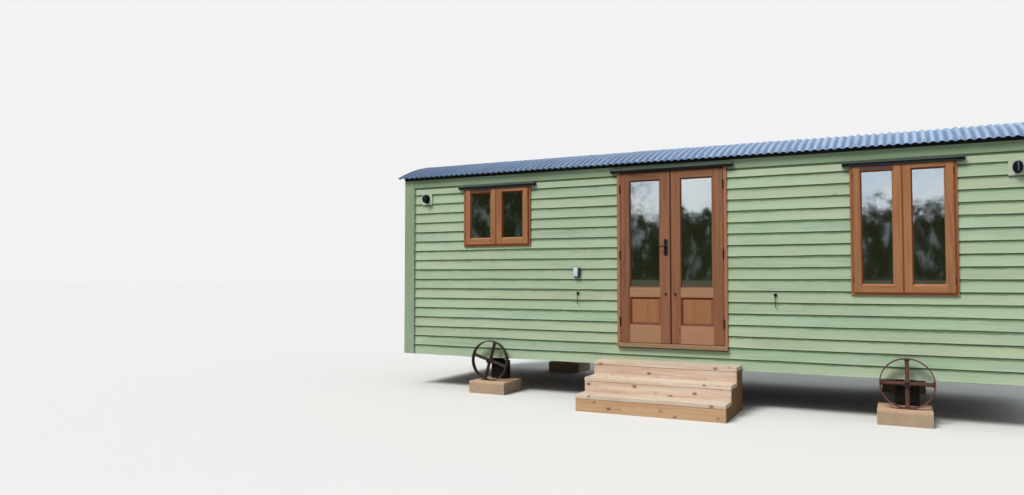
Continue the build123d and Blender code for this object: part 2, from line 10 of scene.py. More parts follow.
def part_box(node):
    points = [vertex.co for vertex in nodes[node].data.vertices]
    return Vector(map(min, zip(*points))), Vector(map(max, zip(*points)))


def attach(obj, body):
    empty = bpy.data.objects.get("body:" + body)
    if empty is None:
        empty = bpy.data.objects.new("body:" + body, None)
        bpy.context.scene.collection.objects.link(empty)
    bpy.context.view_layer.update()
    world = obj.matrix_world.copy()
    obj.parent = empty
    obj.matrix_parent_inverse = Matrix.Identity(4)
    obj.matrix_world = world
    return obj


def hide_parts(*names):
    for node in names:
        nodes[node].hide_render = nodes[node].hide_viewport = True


bl_info = {
    "name": "Shepherds hut looks",
    "version": (1, 0, 0),
    "blender": (4, 5, 0),
    "location": "View3D > Sidebar > Hut",
    "description": "Boards, corrugated roof, joinery, ironwork and finishes for the shepherds hut",
    "category": "Object",
}

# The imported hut: metres, +Z up from the ground, +X along the hut, doors facing -Y
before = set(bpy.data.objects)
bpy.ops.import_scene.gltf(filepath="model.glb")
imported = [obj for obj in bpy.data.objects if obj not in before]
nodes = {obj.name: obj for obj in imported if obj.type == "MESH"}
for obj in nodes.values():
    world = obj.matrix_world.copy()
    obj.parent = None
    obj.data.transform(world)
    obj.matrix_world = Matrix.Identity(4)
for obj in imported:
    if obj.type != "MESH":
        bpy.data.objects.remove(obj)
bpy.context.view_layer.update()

WALL_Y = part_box("front_wall_left")[0].y
BACK_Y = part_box("back_wall")[1].y
END_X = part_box("right_end_wall")[1].x
MIDDLE_Y = (WALL_Y + BACK_Y) / 2
FOOT_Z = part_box("back_wall")[0].z
FLOOR_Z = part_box("floor_deck")[1].z
FACE_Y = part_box("corner_boards")[0].y
CORNER_THICK = 0.018
CORNER_WIDTH = 0.150
ROWS, ROWS_IN_GABLE = 17, 5
SHORT_ROW = 0.094
FRIEZE_THICK = 0.014
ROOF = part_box("roof_sheet")
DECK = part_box("roof_deck")
ROOF_RADIUS = 2.880
ROOF_DEPTH = 0.020
DECK_RADIUS = ROOF_RADIUS - 0.045
ARC_Z = ROOF[1].z - ROOF_RADIUS - ROOF_DEPTH
WAVES_PER_SHEET = 8
WAVE_FOOT, WAVE_HALF = 0.0010, 0.0088
SCREW_SEAT = 0.0184
WINDOWS = ("left_window_frame", "right_window_frame")
DOOR = (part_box("door_sill")[0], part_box("door_head")[1])
DOOR_HEAD = 0.035
FRAME_WIDTH = 0.042
MULLION = 0.046
SASH_WIDTH = 0.054
SASH_LIP = 0.014
LIP_THICK = 0.012
MOULDING = 0.030
CAP_FILLET = (0.015, 0.020)
HANDLE_HALF = 0.021
HOOK_ROSE = 0.018
EYE_RADIUS, EYE_THICK = 0.0085, 0.0028
LAMP_HALF, LENS_HALF = 0.042, 0.008
STEP_RISE = 0.1515
STEP_GOINGS = (0.579, 0.289)
TREAD_THICK = 0.042

# Light at which a colour on the front renders about as it is written
KEY = 2.7
FILL = 0.33
BACKGROUND = 0.89


def linear(red, green, blue):
    """Colour as it shows on screen, 0 to 255, turned into the linear values that shaders take."""
    def channel(value):
        share = value / 255
        return share / 12.92 if share <= 0.04045 else ((share + 0.055) / 1.055) ** 2.4
    return channel(red), channel(green), channel(blue)


def toned(paint, factors, lift=0.0):
    """A colour times one factor, or one for each channel, then lifted, and no brighter than 1."""
    factors = factors if isinstance(factors, tuple) else (factors,) * 3
    return tuple(min(1.0, c * f + lift) for c, f in zip(paint, factors))


def length(name, description, default):
    return FloatProperty(name=name, description=description, default=default, subtype="DISTANCE", unit="LENGTH")


def colour(name, description, default):
    return FloatVectorProperty(name=name, description=description, default=linear(*default), size=3, min=0, max=1,
                               subtype="COLOR")


class HutSizes(bpy.types.PropertyGroup):
    board_gauge: length("Board gauge", "Height of each lapped board that shows", 0.123)
    board_edge: length("Board edge", "How far the foot of a board stands off the wall", 0.016)
    board_top: length("Board top", "How far a board stands off the wall just under the next one", 0.0045)
    board_wave: length("Board wave", "How far the sawn feet of the boards wander", 0.007)
    corrugation: length("Corrugation", "Width of one wave of the roof sheets", 0.07656)
    sheet_thick: length("Sheet thickness", "Thickness of the roof sheets", 0.0012)
    joint_gap: length("Joint line", "Width of the dark gap round a sash", 0.006)
    bead: length("Glazing bead", "Width of the bead round each pane", 0.014)


class HutColours(bpy.types.PropertyGroup):
    boards: colour("Boards", "Sage paint on the lapped boards", (168, 187, 161))
    trim: colour("Corner boards", "Sage paint on the corner boards", (143, 161, 134))
    # The frieze colour is the board paint darkened: painted shade under the eave
    frieze: colour("Frieze", "Darker sage of the board under the eave", (140, 158, 129))
    roof: colour("Roof", "Slate blue of the corrugated sheets", (122, 142, 171))
    timber: colour("Joinery", "Red-brown stain of the doors", (143, 97, 69))
    timber_dark: colour("Joinery grain", "Dark grain of the stained timber", (92, 55, 36))
    panel: colour("Door panels", "Warmer field of the raised panels", (156, 108, 72))
    # The moulding colour is painted shade: a dark copy of the stain for the beads, seams and shaded mouldings, which
    # the lit mouldings brighten again
    moulding: colour("Mouldings", "Dark stain of the mouldings and beads", (84, 48, 33))
    rail: colour("Bottom rail", "Paler bottom rails of the doors", (166, 124, 94))
    sill: colour("Sill", "Bleached timber of the door sill", (152, 124, 94))
    window: colour("Windows", "Orange-brown stain of the casements", (168, 117, 78))
    window_dark: colour("Window grain", "Dark grain of the casements", (106, 66, 42))
    drip: colour("Drip boards", "Dark grey-green of the boards over the openings", (76, 86, 78))
    pine: colour("Pine", "New pine of the treads", (222, 211, 194))
    riser: colour("Risers", "Pinker pine of the risers", (217, 199, 184))
    riser_low: colour("Lowest riser", "Warmer pine of the lowest riser and the sides", (204, 168, 132))
    pine_dark: colour("Pine grain", "Grain and knots of the pine", (170, 124, 88))
    rust: colour("Red iron", "Red-brown iron of the right wheels", (104, 66, 55))
    brown: colour("Brown iron", "Dark brown iron of the left wheels", (69, 50, 43))
    black: colour("Black iron", "Black fittings and chassis", (26, 26, 28))
    concrete: colour("Concrete", "Pads under the wheels", (182, 158, 133))
    lining: colour("Lining", "Boards on the inside of the walls", (196, 180, 152))
    floor: colour("Stage", "Pale floor and background", (231, 231, 230))


# Shader helpers

class Field:
    """What a shader node puts out. Sums with it become Math nodes in its tree."""

    def __init__(self, socket):
        self.socket, self.tree = socket, socket.id_data

    def maths(self, operation, *others):
        return node(self.tree, "Math", self, *others, operation=operation)

    __add__ = partialmethod(maths, "ADD")
    __sub__ = partialmethod(maths, "SUBTRACT")
    __mul__ = partialmethod(maths, "MULTIPLY")
    __truediv__ = partialmethod(maths, "DIVIDE")
    __abs__ = partialmethod(maths, "ABSOLUTE")
    most = partialmethod(maths, "MAXIMUM")

    def ramp(self, low, high, start=0.0, end=1.0):
        """Its range from low to high mapped on to start to end, without overshoot."""
        return node(self.tree, "MapRange", self, low, high, start, end, interpolation_type="SMOOTHSTEP")

    def bump(self, distance, strength=1.0):
        return node(self.tree, "Bump", Height=self, Distance=distance, Strength=strength)

    def random(self):
        return node(self.tree, "TexWhiteNoise", W=self, noise_dimensions="1D")

    def parts(self):
        return node(self.tree, "SeparateXYZ", self, give=("X", "Y", "Z"))

    def stretched(self, x, y, z):
        return node(self.tree, "Mapping", Vector=self, Scale=(x, y, z))

    def shifted(self, x=0.0, y=0.0, z=0.0):
        return node(self.tree, "VectorMath", self, node(self.tree, "CombineXYZ", x, y, z), operation="ADD")

    def noise(self, scale, detail=3.0, rough=0.55, warp=0.0):
        return node(self.tree, "TexNoise", Vector=self, Scale=scale, Detail=detail, Roughness=rough, Distortion=warp)


def put(socket, value):
    """Link a field to a socket, or write a constant on it."""
    if isinstance(value, Field):
        value.tree.links.new(value.socket, socket)
    elif socket.type == "RGBA" and len(value) == 3:
        socket.default_value = (*value, 1)
    else:
        socket.default_value = value


def node(tree, kind, *values, give=0, **named):
    """Add a node and return what it puts out. Named values in small letters set the node up, and the others are its
    inputs, with _ for a space."""
    made = tree.nodes.new("ShaderNode" + kind)
    for name in [n for n in named if n[0].islower()]:
        setattr(made, name, named.pop(name))
    for socket, value in zip(made.inputs, values):
        put(socket, value)
    for name, value in named.items():
        put(made.inputs[name.replace("_", " ")], value)
    return [Field(made.outputs[name]) for name in give] if isinstance(give, tuple) else Field(made.outputs[give])


def blend(factor, low, high, kind="MIX", data="RGBA"):
    """Colour or vector that goes from low to high as the factor goes from 0 to 1."""
    first, result = {"RGBA": (6, 2), "VECTOR": (4, 1)}[data]
    made = factor.tree.nodes.new("ShaderNodeMix")
    made.data_type, made.blend_type = data, kind
    for number, value in ((0, factor), (first, low), (first + 1, high)):
        put(made.inputs[number], value)
    return Field(made.outputs[result])


def layered(shade, *coats):
    """Lay one coat after another over a colour, each by its own factor."""
    for factor, coat in coats:
        shade = blend(factor, shade, coat)
    return shade


def shader_group(name, defaults, outputs):
    """Turn a recipe into a node group with a Vector and named values as inputs: built at its first use, and placed
    with its own values at each."""
    def build(recipe):
        tree = bpy.data.node_groups.new(name, "ShaderNodeTree")
        tree.interface.new_socket("Vector", in_out="INPUT", socket_type="NodeSocketVector")
        for label, default in defaults.items():
            socket = tree.interface.new_socket(label, in_out="INPUT", socket_type="NodeSocketFloat")
            socket.default_value = default
        for label in outputs:
            tree.interface.new_socket(label, in_out="OUTPUT", socket_type="NodeSocketFloat")
        given = tree.nodes.new("NodeGroupInput").outputs[:1 + len(defaults)]
        out = tree.nodes.new("NodeGroupOutput").inputs
        for socket, value in zip(out, recipe(*(Field(one) for one in given))):
            put(socket, value)
        return tree

    def wrap(recipe):
        @wraps(recipe)
        def place(vector, *values):
            made = vector.tree.nodes.new("ShaderNodeGroup")
            made.node_tree = bpy.data.node_groups.get(name) or build(recipe)
            for socket, value in zip(made.inputs, (vector, *values)):
                put(socket, value)
            return [Field(one) for one in made.outputs]
        return place
    return wrap


@shader_group("Timber grain", {"Rings": 60.0, "Knot spacing": 3.0}, ("Grain", "Knots", "Height"))
def timber_grain(vector, rings, spacing):
    """Sawn grain that runs along the first axis of its vector, with rings and knots."""
    bend = vector.stretched(0.8, 3, 3).noise(2.0, 2.0)
    flowing = vector.shifted(0.0, bend * 0.07, bend * 0.05).stretched(0.045, 1, 1)
    streaks = flowing.noise(rings * 2.0, 4.0, 0.65)
    waves = flowing.noise(rings, 2.0, 0.5, 0.6)
    grain = streaks.ramp(0.35, 0.68) * 0.55 + waves.ramp(0.4, 0.6) * 0.45
    x, y, z = vector.parts()
    flat = node(vector.tree, "CombineXYZ", x * 0.7, y + z)
    away, cell = node(vector.tree, "TexVoronoi", Vector=flat, Scale=spacing, Randomness=1.0, voronoi_dimensions="2D",
                      feature="F1", give=("Distance", "Color"))
    size = node(vector.tree, "SeparateColor", cell).ramp(0.30, 1.0, -0.022, 0.015)
    within = size - away / spacing + vector.noise(90.0, 2.0) * 0.006
    knots = within.ramp(0.0, 0.006).most(within.ramp(-0.016, 0.004, 0.0, 0.35))
    return grain, knots, grain * 0.6 + streaks * 0.4


@shader_group("Board rows", {"Foot": 0.416, "Gauge": 0.123}, ("Row", "Tone", "Rise"))
def board_rows(vector, foot, gauge):
    """The number of each lapped board, a tone of its own and the rise from its foot."""
    height = (vector.parts()[2] - foot) / gauge
    row = height.maths("FLOOR")
    return row, row.random(), height.maths("FRACT")


@shader_group("Weathering", {"Scale": 3.0}, ("Drift", "Blotches", "Speckle"))
def weathering(vector, scale):
    """Slow drift of tone, blotches and fine speckle on a painted or metal surface."""
    return (vector.noise(scale, 2.0).ramp(0.3, 0.7),
            vector.noise(scale * 5.0, 4.0, 0.6, 0.4).ramp(0.52, 0.68),
            vector.noise(scale * 90.0, 2.0, 0.6))


def single_boards(place, foot, gauge):
    """The place shifted from board to board, so that no two match, with each board's tone and the rise within it."""
    row, tone, rise = board_rows(place, foot, gauge)
    return place.shifted(tone * 17.0, row * 0.7), tone, rise


def finish(recipe):
    """Make a material, once for each name. Its recipe takes the place on the surface and returns the values of the
    surface shader."""
    @wraps(recipe)
    def make(name, *values, **named):
        made = bpy.data.materials.get(name)
        if not made:
            made = bpy.data.materials.new(name)
            made.use_nodes = True
            face = made.node_tree.nodes["Principled BSDF"].inputs
            place = node(made.node_tree, "TexCoord", give="Object")
            for label, value in recipe(place, *values, **named).items():
                put(face[label], value)
        return made
    return make


@finish
def painted_boards(place, paint, turn=(0, 0, 0), lapped=None, rest=None):
    """Sawn boards under thin sage paint. lapped gives the axis, middle and half width of a lapped wall, whose boards
    get painted shade rising to where they tuck under the next one, a painted shadow under the frieze at the height
    of rest, painted shade beside the corner boards and a painted highlight along each board's foot."""
    along = place
    if lapped:
        along, tone, rise = single_boards(place, FOOT_Z, bpy.context.scene.hut_sizes.board_gauge)
    along = node(place.tree, "Mapping", Vector=along, Rotation=turn)
    grain, knots, height = timber_grain(along, 26.0, 1.5)
    drift, blotches, _ = weathering(along.stretched(0.35, 1, 1), 2.2)
    broad = weathering(along.stretched(0.5, 1, 1), 0.8)[0]
    light, deep = toned(paint, 1.24, 0.015), toned(paint, (0.62, 0.69, 0.60))
    warm, cool = toned(paint, (1.20, 1.0, 0.92)), toned(paint, (0.84, 1.02, 0.94))
    shade = layered(paint, (grain * 0.72, deep), (drift * 0.75, light), (blotches * 0.6, warm), (broad * 0.55, cool))
    if lapped:
        axis, middle, half = lapped
        across = place.parts()
        rise = rise + (along.stretched(1, 3, 3).noise(7.0, 4.0, 0.6) - 0.5) * 0.22
        side = abs(across[axis] - middle)
        # Painted shade: a ragged band where each board tucks under the next, and a band beside the corner boards
        dark = rise.ramp(0.71, 0.86).most(side.ramp(half - 0.036, half - 0.014))
        # Each board's own tone, then painted shade rising towards the lap, a painted highlight along its foot and the
        # painted shade bands
        shade = layered(shade, (tone * 0.45, warm), (rise.ramp(0.35, 0.9, 0.0, 0.35), deep),
                        (rise.ramp(0.0, 0.16, 0.5, 0.0), light), (dark * 0.86, toned(paint, (0.26, 0.33, 0.23))))
        if rest:
            # Painted shadow under the frieze
            shade = blend(across[2].ramp(rest - 0.030, rest - 0.018), shade, toned(paint, (0.16, 0.21, 0.13)))
    return {"Base Color": blend(knots * 0.55, shade, toned(paint, 0.45)), "Specular IOR Level": 0.25,
            "Roughness": grain.ramp(0, 1, 0.62, 0.80), "Normal": height.bump(0.0012)}


@finish
def stained_timber(place, pale, dark, rings=24.0, spacing=2.0, knots=0.8, flow="member", level=None, gloss=0.45,
                   depth=0.0006, contrast=0.75):
    """Bare or stained timber. flow is the way its grain runs: along the hut, up, out from the wall or flat, by the
    marks on each member, or as in a frame, whose rails lie past level, its middle height and half height."""
    x, y, z = place.parts()
    ways = {"along": (x, z, y), "up": (z, x, y), "out": (y, z, x), "flat": (x, y, z)}
    turned = {way: node(place.tree, "CombineXYZ", *order) for way, order in ways.items()}
    seed, across = (node(place.tree, "Attribute", attribute_name=name, give="Fac") for name in ("member", "across"))
    if flow == "frame":
        across = abs(z - level[0]).maths("GREATER_THAN", level[1])
    vector = turned.get(flow) or blend(across, turned["up"], turned["along"], data="VECTOR")
    vector = vector.shifted(seed * 9.0, seed)
    grain, marks, height = timber_grain(vector, rings, spacing)
    drift = weathering(vector.stretched(0.3, 1, 1), 4.0)[0]
    shade = layered(pale, (grain * contrast, dark), (drift * 0.45, tuple((a + b) / 2 for a, b in zip(pale, dark))),
                    (seed.random() * 0.40, toned(pale, 1.22)), (marks * knots, toned(dark, 0.42)))
    return {"Base Color": shade, "Specular IOR Level": 0.25,
            "Roughness": grain.ramp(0, 1, gloss, gloss + 0.16), "Normal": height.bump(depth)}


@finish
def iron(place, paint, worn, metal=0.35, rough=0.5, scale=9.0, depth=0.0006, amount=0.6):
    """Painted or rusted metal: blotches of the second colour over the first, with a pitted surface."""
    drift, blotches, speckle = weathering(place, scale)
    shade = layered(paint, (drift * 0.6, toned(paint, 0.42)), (blotches * amount, worn))
    return {"Base Color": shade, "Metallic": metal,
            "Roughness": speckle.ramp(0.3, 0.7, rough - 0.1, rough + 0.14), "Normal": speckle.bump(depth, 0.7)}


def black_iron(colours):
    return iron("black_iron", colours.black, linear(52, 44, 40), 0.6, 0.42, 30.0)


@finish
def corrugated_steel(place, paint):
    """Coated sheet, pale on the crowns as a painted highlight, dark in the troughs as painted shade,
    and darker towards the left end of the hut as painted shade.
    """
    x = place.parts()[0]
    drift, blotches, speckle = weathering(place.stretched(1, 0.35, 0.35), 3.0)
    turn = (x - ROOF[0].x) * (2 * pi / bpy.context.scene.hut_sizes.corrugation)
    # Painted highlight on each crown and painted shade in each trough
    crown = turn.maths("COSINE").ramp(-1.0, 1.0)
    pale = toned(paint, 1.7, 0.05)
    shade = layered(toned(paint, (0.50, 0.58, 0.66)), (crown * 0.85, pale),
                    (drift * 0.30, toned(paint, (0.42, 0.52, 0.62))), (blotches * 0.22, pale))
    # Painted shade, deepening towards the left end of the hut
    shade = blend(x.ramp(-4.2, 2.0, 1.0, 0.0), shade, (0.39, 0.42, 0.46), "MULTIPLY")
    return {"Base Color": shade, "Metallic": 0.05, "Specular IOR Level": 0.12,
            "Roughness": speckle.ramp(0.3, 0.7, 0.46, 0.60), "Normal": speckle.bump(0.0003, 0.5)}


@finish
def cast_concrete(place, paint, top):
    """Cast block with pits and stains, paler along the upper edge at the height of top."""
    drift, blotches, speckle = weathering(place, 5.0)
    pits = node(place.tree, "TexVoronoi", Vector=place, Scale=90.0, feature="F1", give="Distance").ramp(0.05, 0.18)
    edge = place.parts()[2].ramp(top - 0.030, top - 0.012, 0.0, 0.7)
    shade = layered(paint, (drift * 0.5, toned(paint, 0.78)), (blotches * 0.35, toned(paint, (0.72, 0.70, 0.62))),
                    (edge, toned(paint, (1.5, 1.35, 1.25))))
    return {"Base Color": blend(pits, toned(paint, 0.6), shade), "Roughness": 0.9,
            "Normal": (speckle * 0.6 + pits).bump(0.002, 0.8)}


@finish
def glazing(place):
    """Clear sealed units: plain transmission, with a faint streak in the gloss."""
    return {"Base Color": (0.80, 0.88, 0.90), "Roughness": weathering(place, 2.0)[1].ramp(0, 1, 0.01, 0.03),
            "Transmission Weight": 1.0, "IOR": 1.9, "Coat Weight": 1.0, "Coat IOR": 2.2, "Coat Roughness": 0.02}


@finish
def wall_core(place, outside, inside):
    """Wall or roof behind the boards: the given colour outside, which on the roof deck is near black as painted
    shade under the eaves, pale lining boards within.
    """
    low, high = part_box("floor_deck")
    x, y, _ = place.parts()
    within = (abs(x).maths("LESS_THAN", high.x + 0.002)
              * abs(y - MIDDLE_Y).maths("LESS_THAN", (high.y - low.y) / 2 + 0.002))
    board, _, rise = single_boards(place, FLOOR_Z, 0.1)
    groove = rise.ramp(0.0, 0.05)
    lining = blend(timber_grain(board, 30.0, 2.0)[0] * 0.4, inside, toned(inside, 0.72))
    lining = blend(groove, toned(inside, 0.35), lining)
    return {"Base Color": blend(within, outside, lining), "Roughness": 0.7, "Normal": groove.bump(0.002, 0.6)}


@finish
def moulded(place, paint, rough=0.4, grit=0.0003, shine=0.5):
    """Moulded plastic or plain paint, a little uneven."""
    drift, _, speckle = weathering(place, 12.0)
    return {"Base Color": blend(drift * 0.3, paint, toned(paint, 0.8)), "Specular IOR Level": shine,
            "Roughness": speckle.ramp(0.3, 0.7, rough - 0.05, rough + 0.08), "Normal": speckle.bump(grit, 0.4)}


@finish
def pale_floor(place, paint):
    """Floor that the camera sees pale, that gives grey light back and that shows dark in panes and gloss."""
    diffuse, glossy = node(place.tree, "LightPath", give=("Is Diffuse Ray", "Is Glossy Ray"))
    shown = blend(diffuse, paint, (0.42, 0.42, 0.42))
    return {"Base Color": blend(glossy, shown, (0.10, 0.10, 0.045)), "Roughness": 0.95, "Specular IOR Level": 0.1}


# Mesh helpers

def only(kind, geom):
    return [g for g in geom if isinstance(g, kind)]


def move(bm, by):
    bmesh.ops.translate(bm, vec=by, verts=bm.verts)


def turn(bm, angle, axis, centre=(0, 0, 0)):
    bmesh.ops.rotate(bm, cent=centre, matrix=Matrix.Rotation(angle, 3, axis), verts=bm.verts)


def stretch(bm, factors):
    bmesh.ops.scale(bm, vec=factors, verts=bm.verts)


def mesh_of(bm, name):
    mesh = bpy.data.meshes.new(name)
    bm.to_mesh(mesh)
    bm.free()
    return mesh


def gather(bm, part, skin=0, across=None, member=0.0):
    """Add a finished shape, made by itself, to a larger mesh. across and member mark the grain of its timber."""
    if skin is not None:
        for face in part.faces:
            face.material_index = skin
    if across is not None:
        mark(part, part.verts, across, member)
    mesh = mesh_of(part, "part")
    bm.from_mesh(mesh)
    bpy.data.meshes.remove(mesh)


def mark(bm, verts, across, member):
    turned = bm.verts.layers.float.get("across") or bm.verts.layers.float.new("across")
    seed = bm.verts.layers.float.get("member") or bm.verts.layers.float.new("member")
    for vert in verts:
        vert[turned], vert[seed] = float(across), member


def marked_bmesh():
    bm = bmesh.new()
    mark(bm, (), 0, 0)
    return bm


def round_edges(bm, edges, edge, segments):
    bmesh.ops.bevel(bm, geom=edges, offset=edge, offset_type="OFFSET", segments=segments, profile=0.5, affect="EDGES",
                    material=-1)


def plain_block(low, high, edge=0.0, segments=2):
    """A squared timber or plate with rounded edges, in a mesh of its own."""
    low, high = Vector(low), Vector(high)
    part = bmesh.new()
    bmesh.ops.create_cube(part, size=1.0)
    stretch(part, high - low)
    move(part, (low + high) / 2)
    if edge:
        round_edges(part, part.edges[:], edge, segments)
    return part


def block(bm, low, high, edge=0.0, segments=2, skin=0, across=None, member=0.0):
    gather(bm, plain_block(low, high, edge, segments), skin, across, member)


def plain_disc(centre, radius, depth, sides=24, edge=0.0, segments=2):
    """A short round bar that faces along Y, in a mesh of its own."""
    part = bmesh.new()
    bmesh.ops.create_cone(part, cap_ends=True, segments=sides, radius1=radius, radius2=radius, depth=depth)
    if edge:
        rims = [e for e in part.edges if abs(e.verts[0].co.z - e.verts[1].co.z) < 1e-6]
        round_edges(part, rims, edge, segments)
    turn(part, pi / 2, "X")
    move(part, centre)
    return part


def disc(bm, centre, radius, depth, sides=24, edge=0.0, segments=2):
    gather(bm, plain_disc(centre, radius, depth, sides, edge, segments))


def bent_rod(bm, points, radius, sides=10):
    """A rod that follows a few points, swept as short extrusions."""
    points = [Vector(p) for p in points]
    direction = (points[1] - points[0]).normalized()
    rod = bmesh.new()
    bmesh.ops.create_circle(rod, cap_ends=True, segments=sides, radius=radius)
    bmesh.ops.rotate(rod, matrix=Vector((0, 0, 1)).rotation_difference(direction).to_matrix(), verts=rod.verts)
    move(rod, points[0])
    faces = rod.faces[:]
    for k in range(1, len(points)):
        step = points[k] - points[k - 1]
        onward = points[k + 1] - points[k] if k + 1 < len(points) else step
        facing = (step.normalized() + onward.normalized()).normalized()
        grown = bmesh.ops.extrude_face_region(rod, geom=faces + [e for f in faces for e in f.edges])["geom"]
        ring, faces = only(bmesh.types.BMVert, grown), only(bmesh.types.BMFace, grown)
        bmesh.ops.translate(rod, vec=step, verts=ring)
        bmesh.ops.rotate(rod, cent=points[k], matrix=direction.rotation_difference(facing).to_matrix(), verts=ring)
        direction = facing
    gather(bm, rod)


def mitred_frame(bm, low, high, width, front, inner_front, back, dark_foot=False):
    """Beading mitred round an upright opening, whose face falls from front to inner_front. Its top and left lengths
    take the second material, and so does its foot if dark_foot is set."""
    part = bmesh.new()
    bmesh.ops.create_grid(part, x_segments=1, y_segments=1, size=0.5)
    stretch(part, (high[0] - low[0], high[2] - low[2], 1))
    turn(part, pi / 2, "X")
    move(part, ((low[0] + high[0]) / 2, back, (low[2] + high[2]) / 2))
    part.normal_update()
    field = part.faces[:]
    rim = bmesh.ops.inset_region(part, faces=field, thickness=width, use_boundary=True, use_even_offset=True)["faces"]
    bmesh.ops.delete(part, geom=field, context="FACES")
    grown = bmesh.ops.extrude_face_region(part, geom=rim)["geom"]
    for vert in only(bmesh.types.BMVert, grown):
        edge = min(abs(vert.co.x - low[0]), abs(vert.co.x - high[0])) < width / 2
        edge = edge or min(abs(vert.co.z - low[2]), abs(vert.co.z - high[2])) < width / 2
        vert.co.y = front if edge else inner_front
    for face in part.faces:
        middle = face.calc_center_median()
        dark = abs(middle.x - low[0]) < width or abs(middle.z - high[2]) < width
        face.material_index = int(dark or (dark_foot and abs(middle.z - low[2]) < width))
    gather(bm, part, None, 0, 0.5)


def eye_ring(bm, centre):
    """An upright ring, seen edge on from the front."""
    ring = bmesh.new()
    bmesh.ops.create_circle(ring, segments=10, radius=EYE_THICK)
    turn(ring, pi / 2, "Y")
    turn(ring, pi / 2, "Z")
    move(ring, centre + Vector((0, 0, EYE_RADIUS)))
    bmesh.ops.spin(ring, geom=ring.verts[:] + ring.edges[:], cent=centre, axis=(1, 0, 0), angle=2 * pi, steps=24,
                   use_merge=True)
    gather(bm, ring)


def stood(name, data):
    """Stand a mesh, a lamp or the camera in the scene."""
    made = bpy.data.objects.new(name, data)
    bpy.context.scene.collection.objects.link(made)
    return made


def hut_piece(name, bm, body, materials, replaces=(), smooth=None, place=Matrix()):
    """Make the finished mesh, moved to its place, an object at the origin that rides on a body."""
    bmesh.ops.transform(bm, matrix=place, verts=bm.verts)
    bmesh.ops.recalc_face_normals(bm, faces=bm.faces)
    mesh = mesh_of(bm, name)
    for one in materials:
        mesh.materials.append(one)
    if smooth is not None:
        mesh.polygons.foreach_set("use_smooth", [True] * len(mesh.polygons))
        mesh.set_sharp_from_angle(angle=radians(smooth))
    made = stood(name, mesh)
    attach(made, body)
    if replaces:
        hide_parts(*replaces)


def dress(material, *names):
    for name in names:
        mesh = nodes[name].data
        mesh.materials.clear()
        mesh.materials.append(material)


# Boards

def on_wall(along, out, start):
    """Takes a wall that is built with x along it, y out from it and z up to its place on the hut."""
    return Matrix.Translation(start) @ Matrix((along, out, (0, 0, 1))).transposed().to_4x4()


def board_wave(place, row, depth):
    slow = noise.noise(Vector((place * 0.9, row * 7.3, 1.7)))
    quick = noise.noise(Vector((place * 4.1, row * 3.1, 9.2)))
    return depth * (0.75 * slow + 0.35 * quick) * 1.6


def lapped_board(bm, start, end, low, high, foot, row, sizes, own_foot, own_top):
    """One wedge-shaped board, in whole or in the part of its height from low to high."""
    board = plain_block((start, 0, low), (end, 1, high + (0.008 if own_top else 0.0)))
    runs = [e for e in board.edges if abs(e.verts[0].co.x - e.verts[1].co.x) > 1e-6]
    cuts = int((end - start) / 0.09)
    if cuts:
        bmesh.ops.subdivide_edges(board, edges=runs, cuts=cuts, use_grid_fill=True)
    for vert in board.verts:
        share = min(1.0, max(0.0, (vert.co.z - foot) / sizes.board_gauge))
        if vert.co.y > 0.5:
            vert.co.y = sizes.board_edge + (sizes.board_top - sizes.board_edge) * share
        if own_foot and abs(vert.co.z - low) < 1e-6:
            vert.co.z += board_wave(vert.co.x, row, sizes.board_wave)
    gather(bm, board)


def clad_wall(bm, start, end, rows, holes, sizes, seed, roof=None):
    """Lap the rows of boards from start to end, round the holes and under an end wall's roof of that radius."""
    for k, (foot, top) in enumerate(rows):
        a, b = start, end
        if roof:
            half = sqrt(max(0.0, roof ** 2 - (foot + 0.012 - ARC_Z) ** 2))
            a, b = max(a, MIDDLE_Y - half), min(b, MIDDLE_Y + half)
            if b - a < 0.05:
                continue
        crossing = [h for h in holes if h[3] > foot + 0.002 and h[2] < top - 0.002 and h[1] > a and h[0] < b]
        stops = sorted({a, b, *[s for h in crossing for s in h[:2] if a < s < b]})
        for left, right in zip(stops, stops[1:]):
            spans = [(foot, top)]
            for h in crossing:
                if h[0] < (left + right) / 2 < h[1]:
                    spans = [s for low, high in spans for s in ((low, min(high, h[2])), (max(low, h[3]), high))
                             if s[1] - s[0] > 0.003]
            for low, high in spans:
                lapped_board(bm, left, right, low, high, foot, k + seed, sizes, low == foot, high == top)
    if roof:
        for vert in bm.verts:
            limit = ARC_Z + sqrt(roof ** 2 - (vert.co.x - MIDDLE_Y) ** 2) - 0.001
            vert.co.z = min(vert.co.z, limit)


